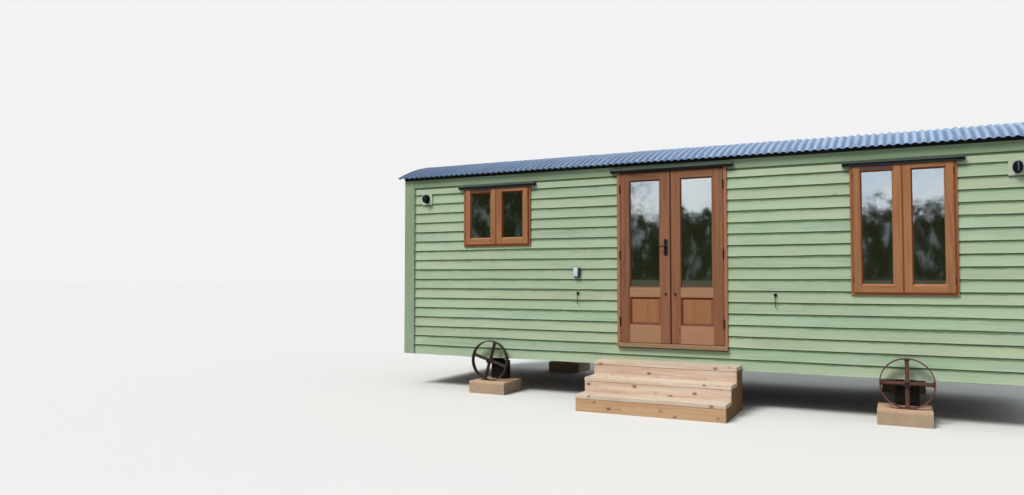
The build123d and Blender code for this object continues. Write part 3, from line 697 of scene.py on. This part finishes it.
class HUT_OT_boards(bpy.types.Operator):
    """Lap the sage boards round all four walls, cut round the doors and windows"""
    bl_idname = "hut.boards"
    bl_label = "Lapped boards"

    def execute(self, context):
        sizes, colours = context.scene.hut_sizes, context.scene.hut_colours
        gauge = sizes.board_gauge
        side = END_X + CORNER_THICK - CORNER_WIDTH
        rows = [(FOOT_Z + k * gauge, FOOT_Z + (k + 1) * gauge) for k in range(ROWS)]
        top = rows[-1][1] + SHORT_ROW
        under = DECK[0].z + 0.02
        # The lapped boards carry painted shade under each lap, under the frieze and beside the corner boards, and a
        # painted highlight along each foot
        paint = painted_boards("sage_boards", colours.boards, lapped=(0, 0.0, side), rest=top)
        holes = [(low.x, high.x, low.z, high.z) for low, high in (DOOR, *map(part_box, WINDOWS))]
        front = (on_wall((1, 0, 0), (0, -1, 0), (0, WALL_Y, 0)), holes, 0,
                 ((-side, DOOR[0].x, top), (DOOR[0].x, DOOR[1].x, max(top, DOOR[1].z)), (DOOR[1].x, side, top)))
        back = (on_wall((1, 0, 0), (0, 1, 0), (0, BACK_Y, 0)), [], 40, ((-side, side, top),))
        for name, (place, gaps, seed, friezes) in (("front_", front), ("back_", back)):
            bm = bmesh.new()
            clad_wall(bm, -side, side, [*rows, (rows[-1][1], top)], gaps, sizes, seed)
            hut_piece(name + "boards", bm, "root", [paint], place=place)
            bm = bmesh.new()
            for a, b, low in friezes:
                block(bm, (a, 0, low), (b, FRIEZE_THICK, under), 0.0012)
            # The frieze takes the darker frieze colour, painted shade under the eave
            hut_piece(name + "frieze", bm, "root", [painted_boards("sage_frieze", colours.frieze)],
                      place=place)
        ends = rows + [(rows[-1][1] + k * gauge, rows[-1][1] + (k + 1) * gauge) for k in range(ROWS_IN_GABLE)]
        edge = (BACK_Y - WALL_Y) / 2 + CORNER_THICK - CORNER_WIDTH
        # The end boards carry the same painted shade under each lap and beside the corner boards, and the painted
        # highlight along each foot
        turned = painted_boards("sage_end_boards", colours.boards, (0, 0, radians(-90)), (1, MIDDLE_Y, edge))
        for name, way in (("left_end_boards", -1), ("right_end_boards", 1)):
            bm = bmesh.new()
            clad_wall(bm, MIDDLE_Y - edge, MIDDLE_Y + edge, ends, [], sizes, 80 + way, roof=DECK_RADIUS)
            place = on_wall((0, 1, 0), (way, 0, 0), (way * END_X, 0, 0))
            hut_piece(name, bm, "root", [turned], place=place)
        dress(wall_core("wall_core", toned(colours.boards, 0.6), colours.lining), "front_wall_left",
              "front_wall_right", "front_wall_over_door", "front_wall_under_door", "back_wall", "left_end_wall",
              "right_end_wall")
        dress(painted_boards("sage_corner_boards", colours.trim, (0, radians(90), 0)), "corner_boards")
        return {"FINISHED"}


class HUT_OT_roof(bpy.types.Operator):
    """Lay the corrugated sheets over the deck, from eave to eave"""
    bl_idname = "hut.roof"
    bl_label = "Corrugated roof"

    def execute(self, context):
        sizes, colours = context.scene.hut_sizes, context.scene.hut_colours
        pitch, steps, points = sizes.corrugation, 28, 10
        half = (ROOF[1].y - ROOF[0].y) / 2 * ROOF_RADIUS / (ROOF_RADIUS + ROOF_DEPTH)
        swing = asin(half / ROOF_RADIUS)
        centre = Vector((0, MIDDLE_Y, ARC_Z))
        waves = round((ROOF[1].x - ROOF[0].x) / pitch)
        bm = bmesh.new()
        for first in range(0, waves, WAVES_PER_SHEET):
            last = min(waves, first + WAVES_PER_SHEET)
            lift = 0.0014 if (first // WAVES_PER_SHEET) % 2 else 0.0
            sheet = bmesh.new()
            ends = [sheet.verts.new((ROOF[0].x + k * pitch, MIDDLE_Y, ARC_Z + ROOF_RADIUS)) for k in (first, last)]
            bmesh.ops.subdivide_edges(sheet, edges=[sheet.edges.new(ends)], cuts=(last - first) * points - 1)
            for vert in sheet.verts:
                vert.co.z += WAVE_FOOT + lift + WAVE_HALF * (1 + cos(2 * pi * (vert.co.x - ROOF[0].x) / pitch))
            turn(sheet, -swing, "X", centre)
            bmesh.ops.spin(sheet, geom=sheet.verts[:] + sheet.edges[:], cent=centre, axis=(1, 0, 0), angle=2 * swing,
                           steps=steps)
            bmesh.ops.recalc_face_normals(sheet, faces=sheet.faces)
            bmesh.ops.solidify(sheet, geom=sheet.faces, thickness=sizes.sheet_thick)
            gather(bm, sheet)
        hut_piece("roof_sheets", bm, "root", [corrugated_steel("slate_blue_steel", colours.roof)],
                  replaces=("roof_sheet",), smooth=50)
        bm = bmesh.new()
        for share in (-0.96, -0.5, 0.0, 0.5, 0.96):
            for k in range(1, waves, 4):
                screw = bmesh.new()
                disc(screw, (0, -0.0015, 0), 0.011, 0.003, 10)
                disc(screw, (0, -0.0045, 0), 0.0055, 0.004, 6)
                turn(screw, -pi / 2, "X")
                move(screw, (ROOF[0].x + k * pitch, MIDDLE_Y, ARC_Z + ROOF_RADIUS + SCREW_SEAT))
                turn(screw, share * swing, "X", centre)
                gather(bm, screw)
        hut_piece("roof_screws", bm, "root", [iron("zinc_screws", linear(150, 154, 162), linear(96, 98, 104), 0.6)])
        # The deck's outer faces are near black: painted shade under the eaves of the sheets
        dress(wall_core("deck_boards", linear(9, 11, 11), colours.lining), "roof_deck")
        return {"FINISHED"}


class HUT_OT_doors(bpy.types.Operator):
    """Frame up both door leaves, bead their glass, mould round their panels and hang the ironwork"""
    bl_idname = "hut.doors"
    bl_label = "Double doors"

    def execute(self, context):
        sizes, colours = context.scene.hut_sizes, context.scene.hut_colours
        timber, moulding = colours.timber, colours.moulding
        stain = stained_timber("stained_joinery", timber, colours.timber_dark, contrast=0.9)
        # Dark mouldings: painted shade on the beads' top and left lengths and on the strips below
        dark = stained_timber("dark_mouldings", moulding, toned(moulding, 0.5))
        lit = stained_timber("lit_mouldings", toned(moulding, (2.8, 2.9, 2.2)), moulding, contrast=0.4)
        shaded = stained_timber("shaded_mouldings", toned(moulding, (1.5, 1.0, 0.45)), moulding, contrast=0.4)
        rail = stained_timber("stained_rail", colours.rail, toned(colours.rail, 0.72))
        for prefix, seed in (("left", 1), ("right", 6)):
            body = prefix + "_door"
            low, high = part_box(body + "_leaf")
            glass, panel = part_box(body + "_glass"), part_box(body + "_panel")
            bm = marked_bmesh()
            for k, (a, b) in enumerate(((low.x, glass[0].x), (glass[1].x, high.x))):
                block(bm, (a, low.y, low.z), (b, high.y, high.z), 0.0025, across=0, member=seed + k)
            for k, (a, b) in enumerate(((low.z, panel[0].z), (panel[1].z, glass[0].z), (glass[1].z, high.z))):
                block(bm, (glass[0].x, low.y, a), (glass[1].x, high.y, b), 0.0025, skin=int(k < 2), across=1,
                      member=seed + 2.4 + k)
            hut_piece(body + "_joinery", bm, body, [stain, rail], replaces=(body + "_leaf",))
            bm = marked_bmesh()
            # Each bead's top and left lengths take the dark mouldings, painted shade in the recess round the glass
            mitred_frame(bm, *glass, sizes.bead, low.y + 0.009, glass[0].y - 0.0015, glass[0].y)
            mitred_frame(bm, *glass, sizes.bead, high.y - 0.003, glass[1].y + 0.0015, glass[1].y)
            # Dark strips: painted shade under the drip board, and a dark joint line where the leaves meet
            front, behind = low.y - 0.0006, low.y + 0.004
            block(bm, (low.x + 0.004, front, high.z - 0.010), (high.x - 0.004, behind, high.z - 0.001), skin=1,
                  across=1)
            if prefix == "right":
                block(bm, (low.x + 0.0005, front, low.z + 0.002), (low.x + 0.008, behind, high.z - 0.002), skin=1,
                      across=0)
            hut_piece(prefix + "_glazing_beads", bm, body, [stain, dark])
            bm = marked_bmesh()
            for face, way in ((low.y, 1), (high.y, -1)):
                mitred_frame(bm, *panel, MOULDING, face + way * 0.004, face + way * 0.013, face + way * 0.030, True)
            hut_piece(prefix + "_panel_mouldings", bm, body, [lit, shaded])
        dress(stained_timber("panel_timber", colours.panel, toned(colours.panel, 0.6), 20.0, 1.2, flow="up",
                             depth=0.0008), "left_door_panel", "right_door_panel")
        dress(stained_timber("jamb_timber", toned(timber, 1.3), timber, flow="up"), "door_jambs")
        # The door head is a darker copy of the stain: painted shade under the drip board
        dress(stained_timber("head_timber", toned(timber, 0.8), colours.timber_dark, flow="along"), "door_head")
        dress(stained_timber("sill_timber", colours.sill, toned(colours.sill, 0.6), flow="along", knots=0.3),
              "door_sill")
        # A near-black strip under the sill: painted shade beneath its edge
        bm = bmesh.new()
        sill = DOOR[0].z
        block(bm, (DOOR[0].x + 0.012, FACE_Y, sill - 0.014), (DOOR[1].x - 0.012, WALL_Y, sill + 0.002), 0.002)
        hut_piece("sill_shade_strip", bm, "root", [moulded("fillet_paint", linear(24, 26, 18), 0.7)])
        black = black_iron(colours)
        dress(black, "jamb_hinges", "left_leaf_hinges", "right_leaf_hinges")
        self.handle(black)
        self.eyes(black)
        return {"FINISHED"}

    def handle(self, black):
        """Slim plate with round ends, rose, cranked lever and keyhole cover on the left leaf."""
        low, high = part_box("door_handle")
        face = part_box("left_door_leaf")[0].y
        x, z = high.x - HANDLE_HALF, (low.z + high.z) / 2 + 0.008
        bm = bmesh.new()
        plate = plain_block((x - 0.019, face - 0.006, low.z), (x + 0.019, face, high.z))
        round_edges(plate, [e for e in plate.edges if abs(e.verts[0].co.y - e.verts[1].co.y) > 1e-6], 0.0185, 6)
        gather(bm, plate)
        for end in (low.z + 0.014, high.z - 0.014):
            disc(bm, (x, face - 0.0065, end), 0.0045, 0.003, 12, 0.0008)
        disc(bm, (x, face - 0.011, z), 0.021, 0.012, 28, 0.003)
        disc(bm, (x, face - 0.0085, z - 0.058), 0.009, 0.005, 20, 0.0012)
        out = face - 0.050
        bent_rod(bm, [(x, face - 0.012, z), (x, out + 0.012, z), (x - 0.004, out + 0.003, z), (x - 0.013, out, z),
                      (x - 0.050, out, z + 0.003), (x - 0.072, out + 0.001, z - 0.001),
                      (low.x + 0.002, out + 0.004, z - 0.007)], 0.0072, 12)
        hut_piece("lever_handle", bm, "left_door", [black], replaces=("door_handle",), smooth=35)

    def eyes(self, black):
        """Screw eyes on the meeting stiles, which the cabin hooks take when the leaves stand open."""
        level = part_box("cabin_hooks")[1].z - HOOK_ROSE
        for prefix, place in (("left", -0.056), ("right", 0.052)):
            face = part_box(prefix + "_door_leaf")[0].y
            bm = bmesh.new()
            disc(bm, (place, face - 0.0025, level), 0.0135, 0.006, 24, 0.002)
            disc(bm, (place, face - 0.007, level), 0.003, 0.012, 10)
            eye_ring(bm, Vector((place, face - 0.019, level)))
            hut_piece(prefix + "_screw_eye", bm, prefix + "_door", [black], smooth=40)


class HUT_OT_windows(bpy.types.Operator):
    """Make the casements, their beads, vents and hinges, and dress the frames"""
    bl_idname = "hut.windows"
    bl_label = "Windows"

    def execute(self, context):
        sizes, colours = context.scene.hut_sizes, context.scene.hut_colours
        stain = stained_timber("casement_timber", colours.window, colours.window_dark)
        low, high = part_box("window_sashes")
        back, front = high.y - 0.001, low.y
        face = front + LIP_THICK
        glass_front, glass_back = (corner.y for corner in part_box("window_glass"))
        sashes, beads, fittings = marked_bmesh(), marked_bmesh(), bmesh.new()
        meeting = (MULLION - sizes.joint_gap) / 2
        red = toned(colours.window, (0.94, 0.74, 0.66))
        for number, name in enumerate(WINDOWS):
            low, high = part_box(name)
            centre = (low.x + high.x) / 2
            lights = ((low.x + FRAME_WIDTH, centre - MULLION / 2), (centre + MULLION / 2, high.x - FRAME_WIDTH))
            bottom, top = low.z + FRAME_WIDTH, high.z - FRAME_WIDTH
            for k, (a, b) in enumerate(lights):
                seed = number * 9 + k * 4
                pane = (a + SASH_WIDTH, b - SASH_WIDTH, bottom + SASH_WIDTH, top - SASH_WIDTH)
                # Each member has a body inside the frame and a wider lip in front of it
                lips = (meeting, SASH_LIP) if k else (SASH_LIP, meeting)
                for out, near, far, edge, drop in (((0, 0), face, back, 0.001, 0.0),
                                                   (lips, front, face, 0.003, SASH_LIP)):
                    foot = bottom - drop
                    for m, (p, q) in enumerate(((a - out[0], pane[0]), (pane[1], b + out[1]))):
                        block(sashes, (p, near, foot), (q, far, top), edge, across=0, member=seed + m)
                    for m, (p, q) in enumerate(((foot, pane[2]), (pane[3], top))):
                        block(sashes, (pane[0], near, p), (pane[1], far, q), edge, across=1, member=seed + 2 + m)
                corners = (pane[0], 0, pane[2]), (pane[1], 0, pane[3])
                # The beads' top and left lengths take the seam colour, painted shade in the recess round the glass
                mitred_frame(beads, *corners, sizes.bead, front + 0.004, glass_front - 0.001, glass_front)
                mitred_frame(beads, *corners, sizes.bead, back - 0.002, glass_back + 0.001, glass_back)
            # Dark seams: a dark joint where the lips meet, and painted shade where they close on the frame and tuck
            # under the drip board
            left, right, foot = lights[0][0] - SASH_LIP, lights[1][1] + SASH_LIP, bottom - SASH_LIP
            for p, q, start, end in ((left - 0.004, left + 0.001, foot, top),
                                     (right - 0.005, right + 0.009, foot, top),
                                     (centre - 0.009, centre + 0.009, foot, top),
                                     (left, right, foot - 0.010, foot + 0.002), (left, right, top - 0.012, top)):
                block(beads, (p, front - 0.0006, start), (q, face, end), skin=1, across=0)
            a, b = lights[0]
            block(fittings, (a + SASH_WIDTH, front - 0.004, top - 0.046),
                  (b - SASH_WIDTH, front + 0.004, top - 0.002), 0.002, skin=1)
            for a in (left - 0.003, right + 0.003):
                for level in (bottom + 0.10, top - 0.10):
                    block(fittings, (a - 0.004, front - 0.002, level - 0.035),
                          (a + 0.004, face, level + 0.035), 0.0015)
            dress(stained_timber(name + "_timber", red, colours.window_dark, flow="frame",
                                 level=((low.z + high.z) / 2, (high.z - low.z) / 2 - FRAME_WIDTH)), name)
        hut_piece("casements", sashes, "root", [stain], replaces=("window_sashes",))
        # The seam colour: a dark copy of the moulding colour, painted shade in the seams and on the beads
        seams = stained_timber("casement_seams", toned(colours.moulding, (2.6, 1.9, 1.3)), colours.moulding)
        hut_piece("casement_beads", beads, "root", [stain, seams])
        vent = moulded("vent_cover", linear(82, 42, 33), 0.5)
        hut_piece("casement_hinges", fittings, "root", [black_iron(colours), vent])
        dress(glazing("sealed_glass"), "window_glass", "left_door_glass", "right_door_glass")
        return {"FINISHED"}


class HUT_OT_fittings(bpy.types.Operator):
    """Make the drip caps, wall lamps, cabin hooks and wall box"""
    bl_idname = "hut.fittings"
    bl_label = "Wall fittings"

    def execute(self, context):
        colours = context.scene.hut_colours
        self.caps(colours)
        self.lamps()
        low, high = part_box("cabin_hooks")
        level = high.z - HOOK_ROSE
        bm = bmesh.new()
        for x in (HOOK_ROSE - high.x, high.x - HOOK_ROSE):
            disc(bm, (x, FACE_Y - 0.003, level), HOOK_ROSE, 0.006, 28, 0.0015)
            for end in (-0.011, 0.011):
                disc(bm, (x + end, FACE_Y - 0.0065, level), 0.003, 0.002, 10)
            eye_ring(bm, Vector((x, low.y + 0.010, level)))
            disc(bm, (x, FACE_Y - 0.010, level), 0.003, 0.014, 10)
            bends = ((0.006, 0.007), (0.005, 0.050), (0.005, 0.100), (0.007, 0.118), (0.014, 0.126), (0.022, 0.122))
            bent_rod(bm, [(x, low.y + out, level - drop) for out, drop in bends], 0.0040)
        hut_piece("hooks_on_wall", bm, "root", [black_iron(colours)],
                  replaces=("cabin_hooks",), smooth=40)
        low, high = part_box("wall_box")
        bm = bmesh.new()
        block(bm, (low.x, low.y + 0.012, low.z), (high.x, high.y, high.z), 0.005, 3)
        block(bm, (low.x + 0.002, low.y, low.z + 0.012), (high.x - 0.020, low.y + 0.014, high.z - 0.002), 0.006, 3, 1)
        # The dark case shows to the right of and below the pale cover as painted shade
        skins = [moulded("box_case", linear(38, 50, 58)), moulded("box_cover", linear(206, 220, 228), 0.32)]
        hut_piece("control_box", bm, "root", skins, replaces=("wall_box",), smooth=40)
        return {"FINISHED"}

    def caps(self, colours):
        """Weathered drip boards over the openings, each with a near-black fillet under it as painted shade."""
        low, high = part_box("drip_caps")
        reach = high.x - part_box("right_window_frame")[1].x
        back, foot = CAP_FILLET
        frame_y = FACE_Y - 0.014
        bm = marked_bmesh()
        for k, name in enumerate((None, *WINDOWS)):
            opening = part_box(name) if name else DOOR
            a, b = opening[0].x - reach, opening[1].x + reach
            level = opening[1].z - (FRAME_WIDTH if name else DOOR_HEAD)
            cap = plain_block((a, low.y, level + foot), (b, WALL_Y, level + 0.053))
            for vert in cap.verts:
                if vert.co.y < low.y + 0.001 and vert.co.z > level + 0.03:
                    vert.co.z -= 0.008
            round_edges(cap, cap.edges[:], 0.003, 2)
            gather(bm, cap, 0, 1, k * 2.0)
            fillets = [(left, right, deep, level, foot) for left, right, deep in (
                (a + 0.002, b - 0.002, frame_y), (a + 0.002, a + reach - 0.002, WALL_Y),
                (b - reach + 0.002, b - 0.002, WALL_Y))]
            # Over a window a further near-black strip hangs lower over the sash tops, as painted shade
            if name:
                fillets.append((a + 0.010, b - 0.010, frame_y - LIP_THICK - 0.001, level - 0.010, 0.010))
            for left, right, deep, start, tall in fillets:
                block(bm, (left, low.y + back, start), (right, deep, start + tall + 0.004), 0.002, skin=1, across=1)
        weathered = stained_timber("weathered_drip_paint", colours.drip, toned(colours.drip, 0.45), gloss=0.5,
                                   knots=0.2)
        hut_piece("drip_boards", bm, "root", [weathered, moulded("black_fillet", linear(13, 13, 14), 0.7)],
                  replaces=("drip_caps",))

    def lamps(self):
        """Upright oval bulkhead lamps with a bar of lens down the middle."""
        low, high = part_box("wall_lamps")
        tall, level = (high.z - low.z) / 2, (high.z + low.z) / 2
        bm = bmesh.new()
        for x in (low.x + LAMP_HALF, high.x - LAMP_HALF):
            shells = [(plain_disc((0, high.y - depth, level), tall - inset, thick, 48, edge, 3), skin, 0)
                      for depth, inset, thick, edge, skin in ((0.010, 0.0, 0.020, 0.003, 0),
                                                              (0.031, 0.006, 0.024, 0.006, 0),
                                                              (0.045, 0.013, 0.012, 0.005, 1))]
            shells += [(plain_disc((0, high.y - 0.047, level), tall - 0.004, 0.028, 48, 0.006, 3), 0, way)
                       for way in (-1, 1)]
            for shell, skin, way in shells:
                stretch(shell, (LAMP_HALF / tall, 1, 1))
                if way:
                    whole = shell.verts[:] + shell.edges[:] + shell.faces[:]
                    cut = bmesh.ops.bisect_plane(shell, geom=whole, plane_co=(way * LENS_HALF, 0, 0),
                                                 plane_no=(-way, 0, 0), clear_outer=True)
                    bmesh.ops.edgenet_fill(shell, edges=only(bmesh.types.BMEdge, cut["geom_cut"]))
                move(shell, (x, 0, 0))
                gather(bm, shell, skin)
        skins = [moulded("lamp_housing", linear(8, 10, 15), 0.6, shine=0.1),
                 moulded("lamp_lens", linear(84, 92, 120), 0.4, 0.0, 0.3)]
        hut_piece("bulkhead_lamps", bm, "root", skins, replaces=("wall_lamps",), smooth=40)
        dress(painted_boards("sage_lamp_block", linear(186, 196, 172)), "lamp_blocks")


class HUT_OT_steps(bpy.types.Operator):
    """Board the steps in knotty pine"""
    bl_idname = "hut.steps"
    bl_label = "Timber steps"

    def execute(self, context):
        colours = context.scene.hut_colours

        def pine(name, paint, spacing, knots, dark=colours.pine_dark, depth=0.0009, flow="member"):
            return stained_timber(name, paint, dark, 22.0, spacing, knots, flow=flow, gloss=0.6, depth=depth)

        low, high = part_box("step_treads")
        a, b = low.x, high.x
        levels = [high.z - k * STEP_RISE for k in (2, 1, 0)]
        fronts = [low.y, *(FACE_Y - going for going in STEP_GOINGS)]
        backs = [fronts[1] + 0.028, fronts[2] + 0.028, high.y]
        treads, risers = marked_bmesh(), marked_bmesh()
        for k, (level, front, back) in enumerate(zip(levels, fronts, backs)):
            middle = front + (back - front) * 0.53
            under = level - TREAD_THICK
            block(treads, (a, front, under), (b, middle - 0.0025, level), 0.004, across=1, member=k * 3.1)
            block(treads, (a, middle + 0.0025, under), (b, back, level), 0.004, across=1, member=k * 3.1 + 1)
            foot = levels[k - 1] if k else 0.0
            block(risers, (a + 0.002, front + 0.005, foot), (b - 0.002, front + 0.028, under - 0.0012), 0.002,
                  skin=int(k == 0), across=1, member=k * 2.3 + 5)
        hut_piece("tread_boards", treads, "root", [pine("pine_treads", colours.pine, 9.0, 0.75, flow="flat")],
                  replaces=("step_treads",))
        skins = [pine("pine_risers", colours.riser, 11.0, 0.85),
                 pine("pine_lowest_riser", colours.riser_low, 10.0, 0.85)]
        hut_piece("riser_boards", risers, "root", skins, replaces=("step_risers",))
        # The sides are a darker copy of the lowest riser's pine: painted shade on the sides
        dress(pine("pine_sides", toned(colours.riser_low, (0.43, 0.37, 0.28)), 5.0, 0.8,
                   toned(colours.pine_dark, 0.45), 0.0006, "out"), "step_sides")
        return {"FINISHED"}


class HUT_OT_running_gear(bpy.types.Operator):
    """Rust the cast wheels, blacken the chassis and cast the pads"""
    bl_idname = "hut.running_gear"
    bl_label = "Wheels and chassis"

    def execute(self, context):
        colours = context.scene.hut_colours
        for name, paint, factors, side in (("red_cast_iron", colours.rust, (1.9, 2.2, 2.4), "right_wheel"),
                                           ("brown_cast_iron", colours.brown, (2.2, 2.2, 2.3), "left_wheel")):
            dress(iron(name, paint, toned(paint, factors), 0.2, 0.66, 11.0, 0.0008, 0.9), "front_" + side,
                  "back_" + side)
        dress(iron("black_chassis_paint", colours.black, linear(46, 38, 34), 0.3, 0.55, 5.0), "axles", "axle_caps",
              "chassis_rails", "chassis_crossmembers")
        dress(cast_concrete("cast_concrete", colours.concrete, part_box("wheel_pads")[1].z), "wheel_pads")
        # Timber packing: dark timber, made near black as painted shade under the hut
        dress(stained_timber("dark_packing", linear(30, 25, 21), linear(14, 12, 10), flow="along", gloss=0.7),
              "support_blocks")
        dress(stained_timber("floor_boards", linear(150, 116, 82), linear(104, 76, 52), flow="along"), "floor_deck")
        return {"FINISHED"}


class HUT_OT_stage(bpy.types.Operator):
    """Lay the pale floor, set the soft light and stand the camera where the photograph was taken"""
    bl_idname = "hut.stage"
    bl_label = "Stage, light and camera"

    def execute(self, context):
        bm = bmesh.new()
        bmesh.ops.create_grid(bm, x_segments=1, y_segments=1, size=400)
        move(bm, (0, 0, -0.0005))
        mesh = mesh_of(bm, "floor")
        mesh.materials.append(pale_floor("stage_floor", context.scene.hut_colours.floor))
        floor = stood("floor", mesh)
        context.scene.world = bpy.data.worlds.new("studio")
        context.scene.world.use_nodes = True
        self.sky(context.scene.world.node_tree)
        sun = bpy.data.lights.new("key", "SUN")
        sun.energy, sun.angle, sun.color = KEY, radians(24), (1.0, 0.975, 0.94)
        stood("key", sun).rotation_euler = Vector((0.45, 1.0, -1.30)).to_track_quat("-Z", "Y").to_euler()
        lens = bpy.data.cameras.new("camera")
        lens.lens, lens.sensor_width, lens.clip_end = 26.9, 36.0, 200.0
        camera = stood("camera", lens)
        camera.location = (2.288, -9.363, 1.417)
        camera.rotation_euler = (radians(92.24), 0, radians(26.83))
        context.scene.camera = camera
        context.scene.view_settings.view_transform = "Standard"
        return {"FINISHED"}

    def sky(self, tree):
        """Soft fill on the hut, a plain background, and in the panes a pale sky over a dark, uneven tree line, which
        stands higher to the left."""
        tree.nodes.clear()
        straight, glossy, through = node(tree, "LightPath", give=("Is Camera Ray", "Is Glossy Ray",
                                                                  "Is Transmission Ray"))
        way = node(tree, "TexCoord", give="Generated")
        x, _, z = way.parts()
        fill = node(tree, "Background", Color=(0.93, 0.97, 1.0), Strength=z.ramp(-0.1, 0.7, FILL * 0.6, FILL * 1.5))
        over = z + (way.noise(13.0, 10.0, 0.78) - 0.5) * 0.17 - x.ramp(-0.46, -0.37, 0.40, 0.0)
        thin = over.ramp(-0.06, 0.08).most(x.ramp(-0.46, -0.37, 0.6, 0.0))
        flecks = way.stretched(1, 1, 0.4).noise(70.0, 8.0, 0.8).ramp(0.50, 0.62, 0.0, 0.75) * thin
        trees = blend(flecks, (0.034, 0.042, 0.016), (0.50, 0.58, 0.60))
        clouds = blend(way.noise(9.0, 4.0).ramp(0.35, 0.65), (1.30, 1.56, 1.80), (1.80, 1.86, 1.88))
        boughs = way.noise(110.0, 10.0, 0.8).ramp(0.46, 0.54, 0.0, 0.95) * x.ramp(-0.33, -0.26, 1.0, 0.0)
        mirrored = blend(over.ramp(0.074, 0.090), trees, blend(boughs, clouds, (0.10, 0.11, 0.09)))
        back = node(tree, "Background", Color=blend(glossy, (BACKGROUND, BACKGROUND, BACKGROUND), mirrored))
        mixed = node(tree, "MixShader", straight.most(glossy.most(through)), fill, back)
        node(tree, "OutputWorld", mixed, give=())


class HUT_PT_panel(bpy.types.Panel):
    """Sizes, colours and makers of the hut"""
    bl_idname = "HUT_PT_panel"
    bl_label = "Shepherds hut"
    bl_space_type = "VIEW_3D"
    bl_region_type = "UI"
    bl_category = "Hut"

    def draw(self, context):
        for settings in (context.scene.hut_sizes, context.scene.hut_colours):
            column = self.layout.column()
            for name in settings.__annotations__:
                column.prop(settings, name)
        for operator in OPERATORS:
            self.layout.operator(operator.bl_idname)


OPERATORS = (HUT_OT_boards, HUT_OT_roof, HUT_OT_doors, HUT_OT_windows, HUT_OT_fittings, HUT_OT_steps,
             HUT_OT_running_gear, HUT_OT_stage)
CLASSES = (HutSizes, HutColours, *OPERATORS, HUT_PT_panel)


def register():
    for made in CLASSES:
        bpy.utils.register_class(made)
    bpy.types.Scene.hut_sizes = PointerProperty(type=HutSizes)
    bpy.types.Scene.hut_colours = PointerProperty(type=HutColours)


def unregister():
    del bpy.types.Scene.hut_sizes
    del bpy.types.Scene.hut_colours
    for made in reversed(CLASSES):
        bpy.utils.unregister_class(made)


def main():
    register()
    for operator in OPERATORS:
        if getattr(bpy.ops.hut, operator.bl_idname.split(".")[1])() != {"FINISHED"}:
            raise RuntimeError(operator.bl_label + " didn't finish")


if __name__ == "__main__":
    main()
